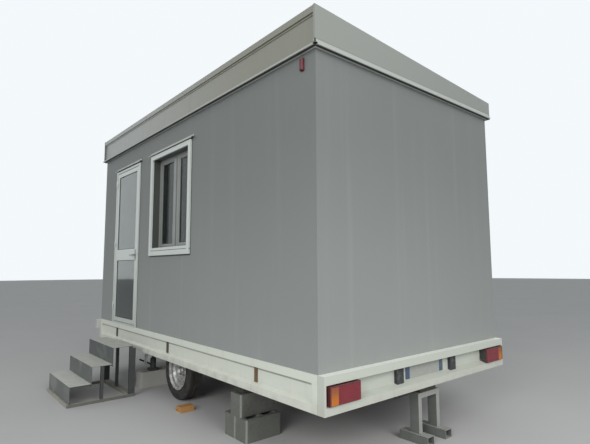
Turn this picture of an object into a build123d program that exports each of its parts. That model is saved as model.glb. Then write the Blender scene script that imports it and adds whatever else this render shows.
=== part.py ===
import os
from math import atan2, cos, degrees, sin

from build123d import *

# Towable site cabin, parked on blocks. Millimetres, +Z up, +X towards the rear lamps, door side facing -Y.
# The origin lies on the ground under the middle of the whole outline, drawbar and steps included.

# Cabin box
cabin_length = 4456.0
cabin_width = 2400.0
wall_thickness = 50.0
floor_thickness = 60.0
covering_thickness = 3.0
covering_gap = 4.0
fit_gap = 2.0

# Chassis heights
ground_clearance = 450.0
beam_height = 250.0
sheet = 4.0

# Perimeter beams: top strip, recessed web and sloping lower flange
side_projection = 7.0
side_web_recess = 30.0
rear_projection = 63.0
front_projection = 36.0
strip_height = 58.0
lip_height = 53.0
slope_drop = 20.0
corner_post_width = 54.0
end_plate_width = 17.0

# Rails and cross members under the floor
rail_height = 110.0
rail_width = 60.0
rail_wall = 5.0
cross_width = 50.0
cross_wall = 4.0
cross_from_front = (328.0, 948.0, 1608.0)
cross_from_rear = (1988.0, 1378.0, 778.0, 228.0)
tie_width = 80.0
tie_setback = 34.0

# Drawbar
arm_width = 50.0
arm_height = 70.0
arm_wall = 5.0
arm_start = 728.0
arm_root_setback = 30.0
shank_width = 60.0
shank_height = 50.0
drawbar_reach = 1342.0
shank_meeting = 1151.0
dome_radius = 40.0
ball_radius = 25.0

# Axle and wheels
wheel_place = -190.0
tyre_radius = 298.0
tyre_width = 175.0
tyre_shoulder = 26.0
tyre_shoulder_drop = 10.0
tyre_bulge = 58.0
tyre_bead = 16.0
tread_groove = 10.0
tread_groove_depth = 6.0
tread_groove_spread = 44.0
wheel_inset = 187.0
tyre_clearance = 37.5
rim_width = 150.0
seat_radius = 178.0
flange_height = 19.0
rim_sheet = 5.0
flange_run = 14.0
seat_run = 22.0
well_slope = 18.0
drop_depth = 18.0
disc_inset = 72.0
disc_sheet = 6.0
dish_height = 20.0
vent_count = 10
vent_radius = 11.0
vent_circle = 128.0
hub_radius = 44.0
cap_radius = 31.0
cap_length = 30.0
stub_radius = 22.0
running_gap = 0.3
axle_tube = 80.0
arm_reach = 150.0
swing_thickness = 26.0
swing_radius = 38.0
axle_pad = 10.0

# Roof and fascia
fascia_depth_door_side = 300.0
fascia_depth_far_side = 170.0
fascia_over_door = 236.0
fascia_standoff = 34.0
fascia_sheet = 3.0
top_band = 50.0
groove_depth = 12.0
groove_height = 15.0
web_step = 6.0
lip_reach = 17.0
lip_face = 12.0
lip_kick = 16.0
lip_corner_gap = 10.0
fascia_leg = 120.0
end_return = 15.0
roof_thickness = 50.0
roof_below_fascia = 70.0
rib_height = 35.0
rib_base = 70.0
rib_crown = 30.0
rib_pitch = 330.0
rib_edge = 60.0

# Door
door_from_front = 488.0
door_width = 810.0
door_height = 1994.0
door_proud = 14.0
door_face_width = 30.0
door_lap = 8.0
door_gap = 7.0
door_stop = 15.0
threshold = 20.0
leaf_setback = 4.0
leaf_thickness = 40.0
stile = 55.0
top_rail = 50.0
bottom_rail = 50.0
mid_rail = 138.0
mid_rail_height = 824.0
glass_setback = 10.0
glass_thickness = 8.0
hinge_from_bottom = 190.0
hinge_from_top = 204.0
knuckle_length = 38.0
knuckle_radius = 7.0
hinge_pin_radius = 3.5
hinge_leaf = 28.0
hinge_sheet = 3.0
handle_height = 862.0
handle_plate_width = 30.0
handle_plate_height = 130.0
handle_plate_depth = 7.0
handle_reach = 46.0
handle_length = 112.0
handle_radius = 9.0

# Window
window_from_front = 1646.0
window_width = 982.0
window_below_fascia = 242.0
window_height = 1150.0
window_proud = 18.0
window_face_width = 50.0
window_lap = 15.0
window_depth = 140.0
sash_setback = 97.0
sash_thickness = 40.0
sash_member = 80.0
sash_head = 60.0
sash_gap = 3.0
cover_strip = 46.0
cover_strip_depth = 8.0
track_height = 35.0
track_setback = 10.0

# Drip caps over the door and the window
cap_overhang_door = 30.0
cap_overhang_window = 50.0
cap_reach = 30.0
cap_leg = 22.0
cap_fall = 12.0
cap_above = 22.0
cap_sheet = 3.0

# Lamps, reflectors and rear fittings
lamp_width = 294.0
lamp_height = 125.0
lamp_depth = 80.0
lens_depth = 10.0
lamp_from_plate = 18.0
lamp_rise = 8.0
slope_clearance = 1.0
reflector_from_front = 612.0
reflector_middle = -87.0
reflector_from_rear = 722.0
reflector_width = 32.0
reflector_height = 116.0
reflector_depth = 12.0
marker_width = 34.0
marker_height = 90.0
marker_depth = 26.0
marker_from_rear = 133.0
marker_below_fascia = 80.0
front_lamp_width = 60.0
front_lamp_height = 110.0
front_lamp_depth = 62.0
front_lamp_overhang = 40.0
front_lamp_centre = 626.0
plate_width = 520.0
plate_height = 110.0
plate_sheet = 3.0
plate_centre = -15.0
buffer_width = 86.0
buffer_height = 130.0
buffer_depth = 26.0
buffer_spread = 742.0
buffer_corner = 20.0
buffer_top_gap = 6.0

# Stand: concrete blocks, timber, jacks and the rear trestle
block_length = 355.0
block_width = 167.0
block_height = 180.0
block_corner = 22.0
block_gap = 3.0
block_wall = 32.0
block_inset = 62.0
stack_from_rear = 1073.0
front_block_from_front = 1278.0
shim_length = 302.0
shim_width = 100.0
shim_set_back = 19.0
jack_base_width = 110.0
jack_base_height = 22.0
jack_body_radius = 34.0
jack_body_height = 120.0
jack_ram_radius = 16.0
jack_saddle_radius = 24.0
jack_saddle_height = 14.0
jack_shim = 50.0
jack_handle_radius = 9.0
jack_handle_length = 190.0
trestle_height = 380.0
trestle_post_width = 45.0
trestle_post_depth = 85.0
trestle_wall = 4.0
trestle_posts = (-58.0, 195.0)
trestle_foot_width = 88.0
trestle_foot_height = 70.0
trestle_foot_length = 270.0
trestle_bar = 40.0
trestle_from_rear = 66.0
bearer_length = 220.0
bearer_width = 70.0
chock_length = 120.0
chock_width = 145.0
chock_height = 50.0
chock_behind_wheel = 400.0
chock_from_tyre = 12.5

# Steps
step_width = 866.0
steps_past_door = 282.0
tread_depth = 213.0
tread_going = 211.0
tread_rise = 171.0
tread_sheet = 3.0
tread_lip = 22.0
step_gap = 136.0
base_reach = 20.0
base_height = 30.0
step_bar = 30.0
side_post_place = 90.0
back_post_depth = 65.0

# Places worked out from the sizes above
rear_offset = cabin_length / 2 + lamp_depth
front_offset = cabin_length / 2 + drawbar_reach
step_front = side_projection + step_gap + 2 * tread_going + tread_depth + base_reach
mid_x = (front_offset - rear_offset) / 2
mid_y = (step_front - fascia_standoff - lip_reach) / 2
rear_face = mid_x + cabin_length / 2
front_face = mid_x - cabin_length / 2
door_face = mid_y - cabin_width / 2
far_face = mid_y + cabin_width / 2
floor_line = ground_clearance + beam_height
fascia_underside = floor_line + door_height + fascia_over_door
fascia_top_door_side = fascia_underside + fascia_depth_door_side
fascia_top_far_side = fascia_underside + fascia_depth_far_side
fascia_span = cabin_width + 2 * fascia_standoff
fascia_fall = fascia_top_door_side - fascia_top_far_side
rim_plane = cabin_width / 2 + side_projection - wheel_inset
rail_outer_spread = 2 * (rim_plane - rim_width / 2 - tyre_width / 2 - tyre_clearance)
about_middle = Plane.XZ.offset(-mid_y)
about_centre = Plane.YZ.offset(mid_x)

os.makedirs("parts", exist_ok=True)


def keep(piece, label):
    """Name a finished piece and write it out."""
    piece.part.label = label
    export_step(piece.part, f"parts/{label}.step")


def fascia_top(y):
    """Height of the fascia's top edge at a place across the cabin."""
    return fascia_top_door_side - fascia_fall * (y - door_face + fascia_standoff) / fascia_span


def roof_top(y):
    return fascia_top(y) - roof_below_fascia


def roof_underside(y):
    return roof_top(y) - roof_thickness


def folded(points, thickness):
    """One folded sheet: a line of bends given its thickness on its left, or on its right if negative."""
    line = [Vector(*point) for point in points]
    runs = [(after - before).normalized() for before, after in zip(line, line[1:])]
    shifted = []
    for point, before, after in zip(line, runs[:1] + runs, runs + runs[-1:]):
        mitre = Vector(-before.Y - after.Y, before.X + after.X)
        shifted.append(point + mitre * (2 * thickness / mitre.dot(mitre)))
    with BuildLine() as fold:
        Polyline(*line, *reversed(shifted), close=True)
    make_face(fold.edges())


def box_between(x0, x1, y0, y1, z0, z1, mode=Mode.ADD):
    """A straight block between two corners, added to the piece being made or cut from it."""
    with BuildSketch(Plane.XY.offset(z0)) as plan:
        with Locations(((x0 + x1) / 2, (y0 + y1) / 2)):
            Rectangle(x1 - x0, y1 - y0)
    extrude(plan.sketch, amount=z1 - z0, mode=mode)


# Side beams: folded perimeter beams with a proud top strip, a recessed web and a sloping lower flange
web_y = door_face - side_projection + side_web_recess
beam_outer_y = door_face - side_projection
beam_start = front_face + sheet
beam_end = rear_face - sheet
strip_bottom = floor_line - strip_height
lip_top = ground_clearance + lip_height
with BuildPart() as side_beams:
    with BuildSketch(Plane.YZ.offset(beam_start)):
        folded(
            (
                (web_y + sheet, floor_line),
                (beam_outer_y, floor_line),
                (beam_outer_y, strip_bottom),
                (web_y, strip_bottom),
                (web_y, lip_top + slope_drop),
                (beam_outer_y, lip_top),
                (beam_outer_y, ground_clearance),
                (web_y + 2 * side_web_recess, ground_clearance),
            ),
            sheet,
        )
    extrude(amount=beam_end - beam_start)
    for post_x in (beam_start, beam_end - corner_post_width):
        box_between(
            post_x, post_x + corner_post_width, beam_outer_y, web_y + sheet / 2, ground_clearance, floor_line
        )
    mirror(about=about_middle)
keep(side_beams, "side_beams")


def end_beam(wall_x, outward, projection):
    """Front or rear beam: ledge, top strip, web flush with the wall, sloping flange and closed ends."""
    outer_x = wall_x + outward * projection
    width = cabin_width + 2 * side_projection
    with BuildPart() as beam:
        with BuildSketch(Plane.XZ.offset(-(mid_y + width / 2))):
            folded(
                (
                    (wall_x - outward * sheet, floor_line),
                    (outer_x, floor_line),
                    (outer_x, strip_bottom),
                    (wall_x, strip_bottom),
                    (wall_x, lip_top + slope_drop),
                    (outer_x, lip_top),
                    (outer_x, ground_clearance),
                    (wall_x, ground_clearance),
                ),
                -outward * sheet,
            )
        extrude(amount=width)
        inner_x = wall_x - outward * sheet / 2
        for end_y in (mid_y - width / 2, mid_y + width / 2 - end_plate_width):
            box_between(
                min(inner_x, outer_x),
                max(inner_x, outer_x),
                end_y,
                end_y + end_plate_width,
                ground_clearance,
                floor_line,
            )
    return beam


rear_beam = end_beam(rear_face, 1, rear_projection)
keep(rear_beam, "rear_beam")
front_beam = end_beam(front_face, -1, front_projection)
keep(front_beam, "front_beam")

# Chassis rails: two channels open to the middle, end to end of the chassis
rail_outer_y = mid_y - rail_outer_spread / 2
rail_inner_y = rail_outer_y + rail_width
rail_top = ground_clearance + rail_height
with BuildPart() as chassis_rails:
    with BuildSketch(Plane.YZ.offset(beam_start)):
        folded(
            (
                (rail_inner_y, rail_top),
                (rail_outer_y, rail_top),
                (rail_outer_y, ground_clearance),
                (rail_inner_y, ground_clearance),
            ),
            rail_wall,
        )
    extrude(amount=beam_end - beam_start)
    mirror(about=about_middle)
keep(chassis_rails, "chassis_rails")

# Cross members: tubes under the floor from web to web, and an end tie between the rails at each end
cross_top = floor_line - floor_thickness
cross_height = cross_top - rail_top
web_inner_y = web_y + sheet
cross_length = cabin_width - 2 * (web_inner_y - door_face)
cross_places = [front_face + inset for inset in cross_from_front]
cross_places += [rear_face - inset for inset in cross_from_rear]
with BuildPart() as cross_members:
    with BuildSketch(Plane.XZ.offset(-(mid_y + cross_length / 2))):
        with Locations(*[(place, cross_top - cross_height / 2) for place in cross_places]):
            Rectangle(cross_width, cross_height)
            Rectangle(cross_width - 2 * cross_wall, cross_height - 2 * cross_wall, mode=Mode.SUBTRACT)
    extrude(amount=cross_length)
    tie_length = rail_outer_spread - 2 * rail_width
    tie_places = (front_face + tie_setback + tie_width / 2, rear_face - tie_setback - tie_width / 2)
    with BuildSketch(Plane.XZ.offset(-(mid_y + tie_length / 2))):
        with Locations(*[(place, ground_clearance + rail_height / 2) for place in tie_places]):
            Rectangle(tie_width, rail_height)
            Rectangle(tie_width - 2 * cross_wall, rail_height - 2 * cross_wall, mode=Mode.SUBTRACT)
    extrude(amount=tie_length)
keep(cross_members, "cross_members")

# Drawbar arms: two tubes under the rails that run forward and meet the coupling shank
arm_root_x = front_face + arm_start
shank_meet_x = front_face - shank_meeting
arm_root_y = rail_outer_spread / 2 - arm_root_setback
arm_angle = atan2(arm_root_y - shank_width / 2, arm_root_x - shank_meet_x)
arm_half = arm_width / 2 / cos(arm_angle)
arm_slope = sin(arm_angle) / cos(arm_angle)


def arm_plan(inset):
    """Plan of one arm, its walls set in by an amount, cut off along the shank's side."""
    half = arm_half - inset / cos(arm_angle)
    outer_run = (arm_root_y + half - shank_width / 2) / arm_slope
    inner_run = (arm_root_y - half - shank_width / 2) / arm_slope
    return (
        (arm_root_x, mid_y - arm_root_y - half),
        (arm_root_x, mid_y - arm_root_y + half),
        (arm_root_x - inner_run, mid_y - shank_width / 2),
        (arm_root_x - outer_run, mid_y - shank_width / 2),
    )


arm_bottom = ground_clearance - arm_height
with BuildPart() as drawbar_arms:
    with BuildSketch(Plane.XY.offset(arm_bottom)):
        Polygon(*arm_plan(0), align=None)
    extrude(amount=arm_height)
    with BuildSketch(Plane.XY.offset(arm_bottom + arm_wall)):
        Polygon(*arm_plan(arm_wall), align=None)
    extrude(amount=arm_height - 2 * arm_wall, mode=Mode.SUBTRACT)
    mirror(about=about_middle)
keep(drawbar_arms, "drawbar_arms")

# Coupling head: a square shank held between the arms, a domed ball housing open below, and its lever
ball_x = mid_x - front_offset + dome_radius
ball_z = arm_bottom + arm_height / 2
shank_rear_x = arm_root_x - (arm_root_y - arm_half - shank_width / 2) / arm_slope
with BuildPart() as coupling_head:
    with BuildSketch(Plane.XZ.offset(-(mid_y + shank_width / 2))):
        with BuildLine():
            Polyline(
                (shank_rear_x, ball_z - shank_height / 2),
                (shank_rear_x, ball_z + shank_height / 2),
                (ball_x + dome_radius, ball_z + shank_height / 2),
                (ball_x, ball_z + dome_radius * 0.8),
                (ball_x, ball_z - shank_height / 2),
                close=True,
            )
        make_face()
    extrude(amount=shank_width)
    with Locations((ball_x, mid_y, ball_z)):
        Sphere(dome_radius)
    with Locations((ball_x, mid_y, ball_z - dome_radius)):
        Box(4 * dome_radius, 4 * dome_radius, dome_radius, mode=Mode.SUBTRACT)
    with Locations((ball_x, mid_y, ball_z)):
        Cylinder(
            ball_radius + running_gap,
            dome_radius,
            align=(Align.CENTER, Align.CENTER, Align.MAX),
            mode=Mode.SUBTRACT,
        )
        Cone(
            ball_radius + running_gap,
            ball_radius / 2,
            ball_radius * 0.8,
            align=(Align.CENTER, Align.CENTER, Align.MIN),
            mode=Mode.SUBTRACT,
        )
    lever_width = shank_width / 3
    lever_root = ball_z + shank_height / 2
    with BuildSketch(Plane.XZ.offset(-(mid_y + lever_width / 2))):
        with BuildLine():
            Polyline(
                (ball_x + dome_radius, lever_root),
                (ball_x + 1.4 * dome_radius, lever_root + 0.9 * dome_radius),
                (ball_x + 4.2 * dome_radius, lever_root + 1.3 * dome_radius),
                (ball_x + 4.2 * dome_radius, lever_root + 1.0 * dome_radius),
                (ball_x + 1.9 * dome_radius, lever_root + 0.5 * dome_radius),
                (ball_x + 2.1 * dome_radius, lever_root),
                close=True,
            )
        make_face()
    extrude(amount=lever_width)
keep(coupling_head, "coupling_head")

# Axle: a square tube hung under the rails, trailing arms at its ends and stubs for the wheels
wheel_x = mid_x + wheel_place
axle_z = tyre_radius
tube_x = wheel_x - arm_reach
tube_z = ground_clearance - axle_pad - axle_tube / 2
tube_end = rail_outer_spread / 2
stub_end = rim_plane - disc_inset - disc_sheet
with BuildPart() as axle:
    with BuildSketch(Plane.XZ.offset(-(mid_y + tube_end))):
        with Locations((tube_x, tube_z)):
            RectangleRounded(axle_tube, axle_tube, axle_tube / 8)
    extrude(amount=2 * tube_end)
    for side_sign in (-1, 1):
        pad_y = mid_y + side_sign * (rail_outer_spread / 2 - rail_width / 2)
        box_between(
            tube_x - axle_tube,
            tube_x + axle_tube,
            pad_y - rail_width / 2,
            pad_y + rail_width / 2,
            ground_clearance - axle_pad - 1,
            ground_clearance,
        )
        swing_plane = Plane(
            origin=(tube_x, mid_y + side_sign * tube_end, tube_z), x_dir=(1, 0, 0), z_dir=(0, side_sign, 0)
        )
        lower_point = swing_plane.to_local_coords(Vector(wheel_x, mid_y + side_sign * tube_end, axle_z))
        with BuildSketch(swing_plane):
            SlotCenterToCenter(
                2 * Vector(lower_point.X, lower_point.Y).length, 2 * swing_radius,
                rotation=degrees(atan2(lower_point.Y, lower_point.X)),
            )
            with Locations((-tube_end, 0)):
                Rectangle(2 * tube_end - axle_tube, 8 * swing_radius, mode=Mode.SUBTRACT)
        extrude(amount=swing_thickness)
        stub_plane = Plane(
            origin=(wheel_x, mid_y + side_sign * tube_end, axle_z), x_dir=(1, 0, 0), z_dir=(0, side_sign, 0)
        )
        with BuildSketch(stub_plane):
            Circle(stub_radius)
        extrude(amount=stub_end - tube_end)
keep(axle, "axle")


def wheel_section(side_sign):
    """Plane whose x runs out from the axle and whose y runs outboard, set at the rim's outer plane."""
    return Plane(
        origin=(wheel_x, mid_y + side_sign * rim_plane, axle_z), x_dir=(1, 0, 0), z_dir=(0, 0, side_sign)
    )


def wheel_axis(side_sign):
    return Axis((wheel_x, mid_y, axle_z), (0, side_sign, 0))


def wheel_rim(side_sign):
    """Steel rim: flanges, bead seats and drop centre, a dished disc with vents, a hub and its cap."""
    flange = seat_radius + flange_height
    drop = seat_radius - drop_depth
    well = flange_run + seat_run
    dish = dish_height - disc_inset
    with BuildPart() as rim:
        with BuildSketch(wheel_section(side_sign)):
            folded(
                (
                    (flange, 0),
                    (seat_radius, -flange_run),
                    (seat_radius, -well),
                    (drop, -well - well_slope),
                    (drop, -rim_width + well + well_slope),
                    (seat_radius, -rim_width + well),
                    (seat_radius, -rim_width + flange_run),
                    (flange, -rim_width),
                ),
                -rim_sheet,
            )
        revolve(axis=wheel_axis(side_sign))
        with BuildSketch(wheel_section(side_sign)):
            folded(
                (
                    (drop - rim_sheet / 2, -disc_inset),
                    (vent_circle - 1.3 * vent_radius, dish),
                    (vent_circle - 3.0 * vent_radius, dish),
                    (vent_circle - 4.2 * vent_radius, -disc_inset),
                    (hub_radius - 8, -disc_inset),
                ),
                disc_sheet,
            )
        revolve(axis=wheel_axis(side_sign))
        with BuildSketch(wheel_section(side_sign)):
            with BuildLine():
                Polyline(
                    (stub_radius + running_gap, -disc_inset - 60),
                    (hub_radius, -disc_inset - 60),
                    (hub_radius, -disc_inset),
                    (cap_radius, -disc_inset),
                    (cap_radius, -disc_inset + cap_length * 0.7),
                    (cap_radius * 0.7, -disc_inset + cap_length),
                    (0, -disc_inset + cap_length),
                    (0, -disc_inset + cap_length - 8),
                    (stub_radius + running_gap, -disc_inset + cap_length - 8),
                    close=True,
                )
            make_face()
        revolve(axis=wheel_axis(side_sign))
        vent_plane = Plane(
            origin=(wheel_x, mid_y + side_sign * rim_plane, axle_z), x_dir=(1, 0, 0), z_dir=(0, side_sign, 0)
        )
        with BuildSketch(vent_plane):
            with PolarLocations(vent_circle, vent_count):
                Circle(vent_radius)
        extrude(amount=-disc_inset - disc_sheet - 8, mode=Mode.SUBTRACT)
    return rim


def tyre(side_sign):
    """Road tyre: bulging side walls, sloping shoulders and grooves round the tread."""
    middle = -rim_width / 2
    bead = rim_width / 2 - tyre_bead
    inner = seat_radius + running_gap
    half_section = (
        (tyre_radius, tyre_width / 2 - tyre_shoulder),
        (tyre_radius - tyre_shoulder_drop, tyre_width / 2 - tyre_shoulder / 2),
        (inner + tyre_bulge, tyre_width / 2),
        (inner + tyre_bead, bead + tyre_bead / 3),
        (inner, bead),
    )
    outboard = [(radius, middle + reach) for radius, reach in half_section]
    inboard = [(radius, middle - reach) for radius, reach in reversed(half_section)]
    with BuildPart() as ring:
        with BuildSketch(wheel_section(side_sign)):
            with BuildLine():
                Polyline(*outboard, *inboard, close=True)
            make_face()
            with Locations((tyre_radius, middle)):
                with GridLocations(0, tread_groove_spread, 1, 2):
                    Rectangle(2 * tread_groove_depth, tread_groove, mode=Mode.SUBTRACT)
        revolve(axis=wheel_axis(side_sign))
    return ring


near_wheel_rim = wheel_rim(-1)
keep(near_wheel_rim, "near_wheel_rim")
far_wheel_rim = wheel_rim(1)
keep(far_wheel_rim, "far_wheel_rim")
near_tyre = tyre(-1)
keep(near_tyre, "near_tyre")
far_tyre = tyre(1)
keep(far_tyre, "far_tyre")

# Floor panel: rests on the cross members, inside the beams' webs, with a thin covering between the walls
with BuildPart() as floor_panel:
    with BuildSketch(Plane.XY.offset(cross_top)):
        with Locations((mid_x, mid_y)):
            Rectangle(beam_end - beam_start - 2 * fit_gap, cross_length - 2 * fit_gap)
    extrude(amount=floor_thickness)
    covering_inset = wall_thickness + covering_gap
    with BuildSketch(Plane.XY.offset(floor_line)):
        with Locations((mid_x, mid_y)):
            Rectangle(cabin_length - 2 * covering_inset, cabin_width - 2 * covering_inset)
    extrude(amount=covering_thickness)
keep(floor_panel, "floor_panel")


def end_wall(outer_x, inward):
    """Front or rear wall: one panel whose top follows the roof."""
    with BuildPart() as wall:
        with BuildSketch(Plane.YZ.offset(outer_x)):
            with BuildLine():
                Polyline(
                    (door_face, floor_line),
                    (far_face, floor_line),
                    (far_face, roof_underside(far_face)),
                    (door_face, roof_underside(door_face)),
                    close=True,
                )
            make_face()
        extrude(amount=inward * wall_thickness)
    return wall


rear_wall = end_wall(rear_face, -1)
keep(rear_wall, "rear_wall")
front_wall = end_wall(front_face, 1)
keep(front_wall, "front_wall")


def side_panel(outer_y, inner_y, start_x, end_x, base):
    """Upright panel of a long wall between two places, its top cut to the roof's fall."""
    with BuildSketch(Plane.YZ.offset(start_x)) as section:
        with BuildLine():
            Polyline(
                (outer_y, base),
                (inner_y, base),
                (inner_y, roof_underside(inner_y)),
                (outer_y, roof_underside(outer_y)),
                close=True,
            )
        make_face()
    extrude(section.sketch, amount=end_x - start_x)


# Long walls: the far one is a single run, the door side is in bays round the door and the window
inner_front = front_face + wall_thickness
inner_rear = rear_face - wall_thickness
door_inner_y = door_face + wall_thickness
far_inner_y = far_face - wall_thickness
door_left = front_face + door_from_front
door_right = door_left + door_width
door_top = floor_line + door_height
window_left = front_face + window_from_front
window_right = window_left + window_width
window_top = fascia_underside - window_below_fascia
window_bottom = window_top - window_height
with BuildPart() as far_wall:
    side_panel(far_face, far_inner_y, inner_front, inner_rear, floor_line)
keep(far_wall, "far_wall")
with BuildPart() as door_wall_front_bay:
    side_panel(door_face, door_inner_y, inner_front, door_left + door_lap, floor_line)
keep(door_wall_front_bay, "door_wall_front_bay")
with BuildPart() as door_wall_middle_bay:
    side_panel(door_face, door_inner_y, door_right - door_lap, window_left + window_lap, floor_line)
keep(door_wall_middle_bay, "door_wall_middle_bay")
with BuildPart() as door_wall_rear_bay:
    side_panel(door_face, door_inner_y, window_right - window_lap, inner_rear, floor_line)
keep(door_wall_rear_bay, "door_wall_rear_bay")
with BuildPart() as door_wall_infills:
    side_panel(door_face, door_inner_y, door_left + door_lap, door_right - door_lap, door_top - door_lap)
    side_panel(
        door_face, door_inner_y, window_left + window_lap, window_right - window_lap, window_top - window_lap
    )
    box_between(
        window_left + window_lap,
        window_right - window_lap,
        door_face,
        door_inner_y,
        floor_line,
        window_bottom + window_lap,
    )
keep(door_wall_infills, "door_wall_infills")

# Roof panel: a sandwich slab with ribs that run down the fall
rib_side_angle = degrees(atan2(rib_height, (rib_base - rib_crown) / 2))
rib_count = int((cabin_length - rib_base - 2 * rib_edge) // rib_pitch) + 1
with BuildPart() as roof_panel:
    roof_z = roof_top(door_face)
    with BuildSketch(Plane.XZ.offset(-door_face)):
        with Locations((mid_x, roof_z - roof_thickness / 2)):
            Rectangle(cabin_length, roof_thickness)
        with Locations((mid_x, roof_z)):
            with GridLocations(rib_pitch, 0, rib_count, 1):
                Trapezoid(rib_base, rib_height, rib_side_angle, align=(Align.CENTER, Align.MIN))
    roof_drop = roof_top(door_face) - roof_top(far_face)
    extrude(amount=Vector(0, cabin_width, -roof_drop).length, dir=(0, cabin_width, -roof_drop))
keep(roof_panel, "roof_panel")


def fascia_section(face_y, outward, top):
    """Section of a long fascia: inner leg, top flange, top band, stepped groove, web and kicked-out lip."""
    outer = face_y + outward * fascia_standoff
    groove = outer - outward * groove_depth
    web = groove - outward * web_step
    lip = outer + outward * lip_reach
    return (
        (face_y, top - fascia_leg),
        (face_y, top),
        (outer, top),
        (outer, top - top_band),
        (groove, top - top_band),
        (groove, top - top_band - groove_height),
        (web, top - top_band - groove_height),
        (web, fascia_underside + lip_face + lip_kick),
        (lip, fascia_underside + lip_face),
        (lip, fascia_underside),
        (face_y, fascia_underside),
    )


fascia_start = front_face - fascia_standoff + fascia_sheet
fascia_length = cabin_length + 2 * (fascia_standoff - fascia_sheet)
with BuildPart() as door_side_fascia:
    with BuildSketch(Plane.YZ.offset(fascia_start)):
        folded(fascia_section(door_face, -1, fascia_top(door_face)), fascia_sheet)
    extrude(amount=fascia_length)
keep(door_side_fascia, "door_side_fascia")
with BuildPart() as far_side_fascia:
    with BuildSketch(Plane.YZ.offset(fascia_start)):
        folded(fascia_section(far_face, 1, fascia_top(far_face)), -fascia_sheet)
    extrude(amount=fascia_length)
keep(far_side_fascia, "far_side_fascia")

# End fascias: flat sheets that follow the roof's fall, with side returns, a top flange and a turned-out lip
end_outer = rear_face + fascia_standoff
sheet_low = fascia_underside + lip_face + lip_kick
side_low = door_face - fascia_standoff - fascia_sheet
side_high = far_face + fascia_standoff + fascia_sheet
with BuildPart() as end_fascias:
    with BuildSketch(Plane.YZ.offset(end_outer - fascia_sheet)):
        with BuildLine():
            Polyline(
                (side_low, sheet_low),
                (side_high, sheet_low),
                (side_high, fascia_top(side_high)),
                (side_low, fascia_top(side_low)),
                close=True,
            )
        make_face()
    extrude(amount=fascia_sheet)
    for return_y, top_y in ((side_low, side_low), (side_high - fascia_sheet, side_high)):
        box_between(
            end_outer - fascia_sheet - end_return,
            end_outer,
            return_y,
            return_y + fascia_sheet,
            sheet_low,
            fascia_top(top_y),
        )
    with BuildSketch(Plane.XZ.offset(-(far_face + fascia_standoff - lip_corner_gap))):
        folded(
            (
                (end_outer, sheet_low + fascia_sheet),
                (end_outer, sheet_low),
                (end_outer + lip_reach, fascia_underside + lip_face),
                (end_outer + lip_reach, fascia_underside),
                (end_outer - fascia_sheet, fascia_underside),
            ),
            -fascia_sheet,
        )
    extrude(amount=cabin_width + 2 * (fascia_standoff - lip_corner_gap))
    box_between(
        rear_face, end_outer, door_face, far_face, fascia_underside, fascia_underside + fascia_sheet
    )
    with BuildSketch(Plane.XZ.offset(-door_face)):
        folded(
            (
                (rear_face, fascia_top(door_face) - fascia_leg),
                (rear_face, fascia_top(door_face)),
                (end_outer, fascia_top(door_face)),
                (end_outer, fascia_top(door_face) - fascia_leg),
            ),
            -fascia_sheet,
        )
    flange_drop = fascia_top(door_face) - fascia_top(far_face)
    extrude(amount=Vector(0, cabin_width, -flange_drop).length, dir=(0, cabin_width, -flange_drop))
    mirror(about=about_centre)
keep(end_fascias, "end_fascias")


def opening_frame(left, right, bottom, top, depth_from, depth_to, border):
    """A ring round an opening, between two depths behind the wall face; border: left, right, low, high."""
    low_y = door_face + depth_from
    with BuildSketch(Plane.XZ.offset(-low_y)) as ring:
        with Locations(((left + right) / 2, (bottom + top) / 2)):
            Rectangle(right - left, top - bottom)
        inner_left = left + border[0]
        inner_right = right - border[1]
        inner_bottom = bottom + border[2]
        inner_top = top - border[3]
        with Locations(((inner_left + inner_right) / 2, (inner_bottom + inner_top) / 2)):
            Rectangle(inner_right - inner_left, inner_top - inner_bottom, mode=Mode.SUBTRACT)
    extrude(ring.sketch, amount=-(depth_to - depth_from))


# Door frame: casing on the wall, jambs through it and a stop behind the leaf, with a low threshold
with BuildPart() as door_frame:
    face = door_face_width
    opening_frame(
        door_left, door_right, floor_line, door_top, -door_proud, 0, (face, face, threshold, face)
    )
    jamb = face - door_lap
    opening_frame(
        door_left + door_lap,
        door_right - door_lap,
        floor_line,
        door_top - door_lap,
        0,
        wall_thickness,
        (jamb, jamb, threshold, jamb),
    )
    stop_from = leaf_setback - door_proud + leaf_thickness + door_gap
    stop = jamb + door_stop
    opening_frame(
        door_left + door_lap,
        door_right - door_lap,
        floor_line,
        door_top - door_lap,
        stop_from,
        wall_thickness,
        (stop, stop, threshold, stop),
    )
keep(door_frame, "door_frame")

# Door leaf: narrow stiles and rails with a deep middle rail, glazed above and below
leaf_left = door_left + door_face_width + door_gap
leaf_right = door_right - door_face_width - door_gap
leaf_bottom = floor_line + threshold + door_gap
leaf_top = door_top - door_face_width - door_gap
leaf_front = door_face - door_proud + leaf_setback
pane_left = leaf_left + stile
pane_right = leaf_right - stile
mid_bottom = leaf_bottom + mid_rail_height - mid_rail / 2 + threshold
mid_top = mid_bottom + mid_rail
panes = ((leaf_bottom + bottom_rail, mid_bottom), (mid_top, leaf_top - top_rail))
with BuildPart() as door_leaf:
    with BuildSketch(Plane.XZ.offset(-leaf_front)):
        with Locations(((leaf_left + leaf_right) / 2, (leaf_bottom + leaf_top) / 2)):
            Rectangle(leaf_right - leaf_left, leaf_top - leaf_bottom)
        for pane_bottom, pane_top in panes:
            with Locations(((pane_left + pane_right) / 2, (pane_bottom + pane_top) / 2)):
                Rectangle(pane_right - pane_left, pane_top - pane_bottom, mode=Mode.SUBTRACT)
    extrude(amount=-leaf_thickness)
keep(door_leaf, "door_leaf")
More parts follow.
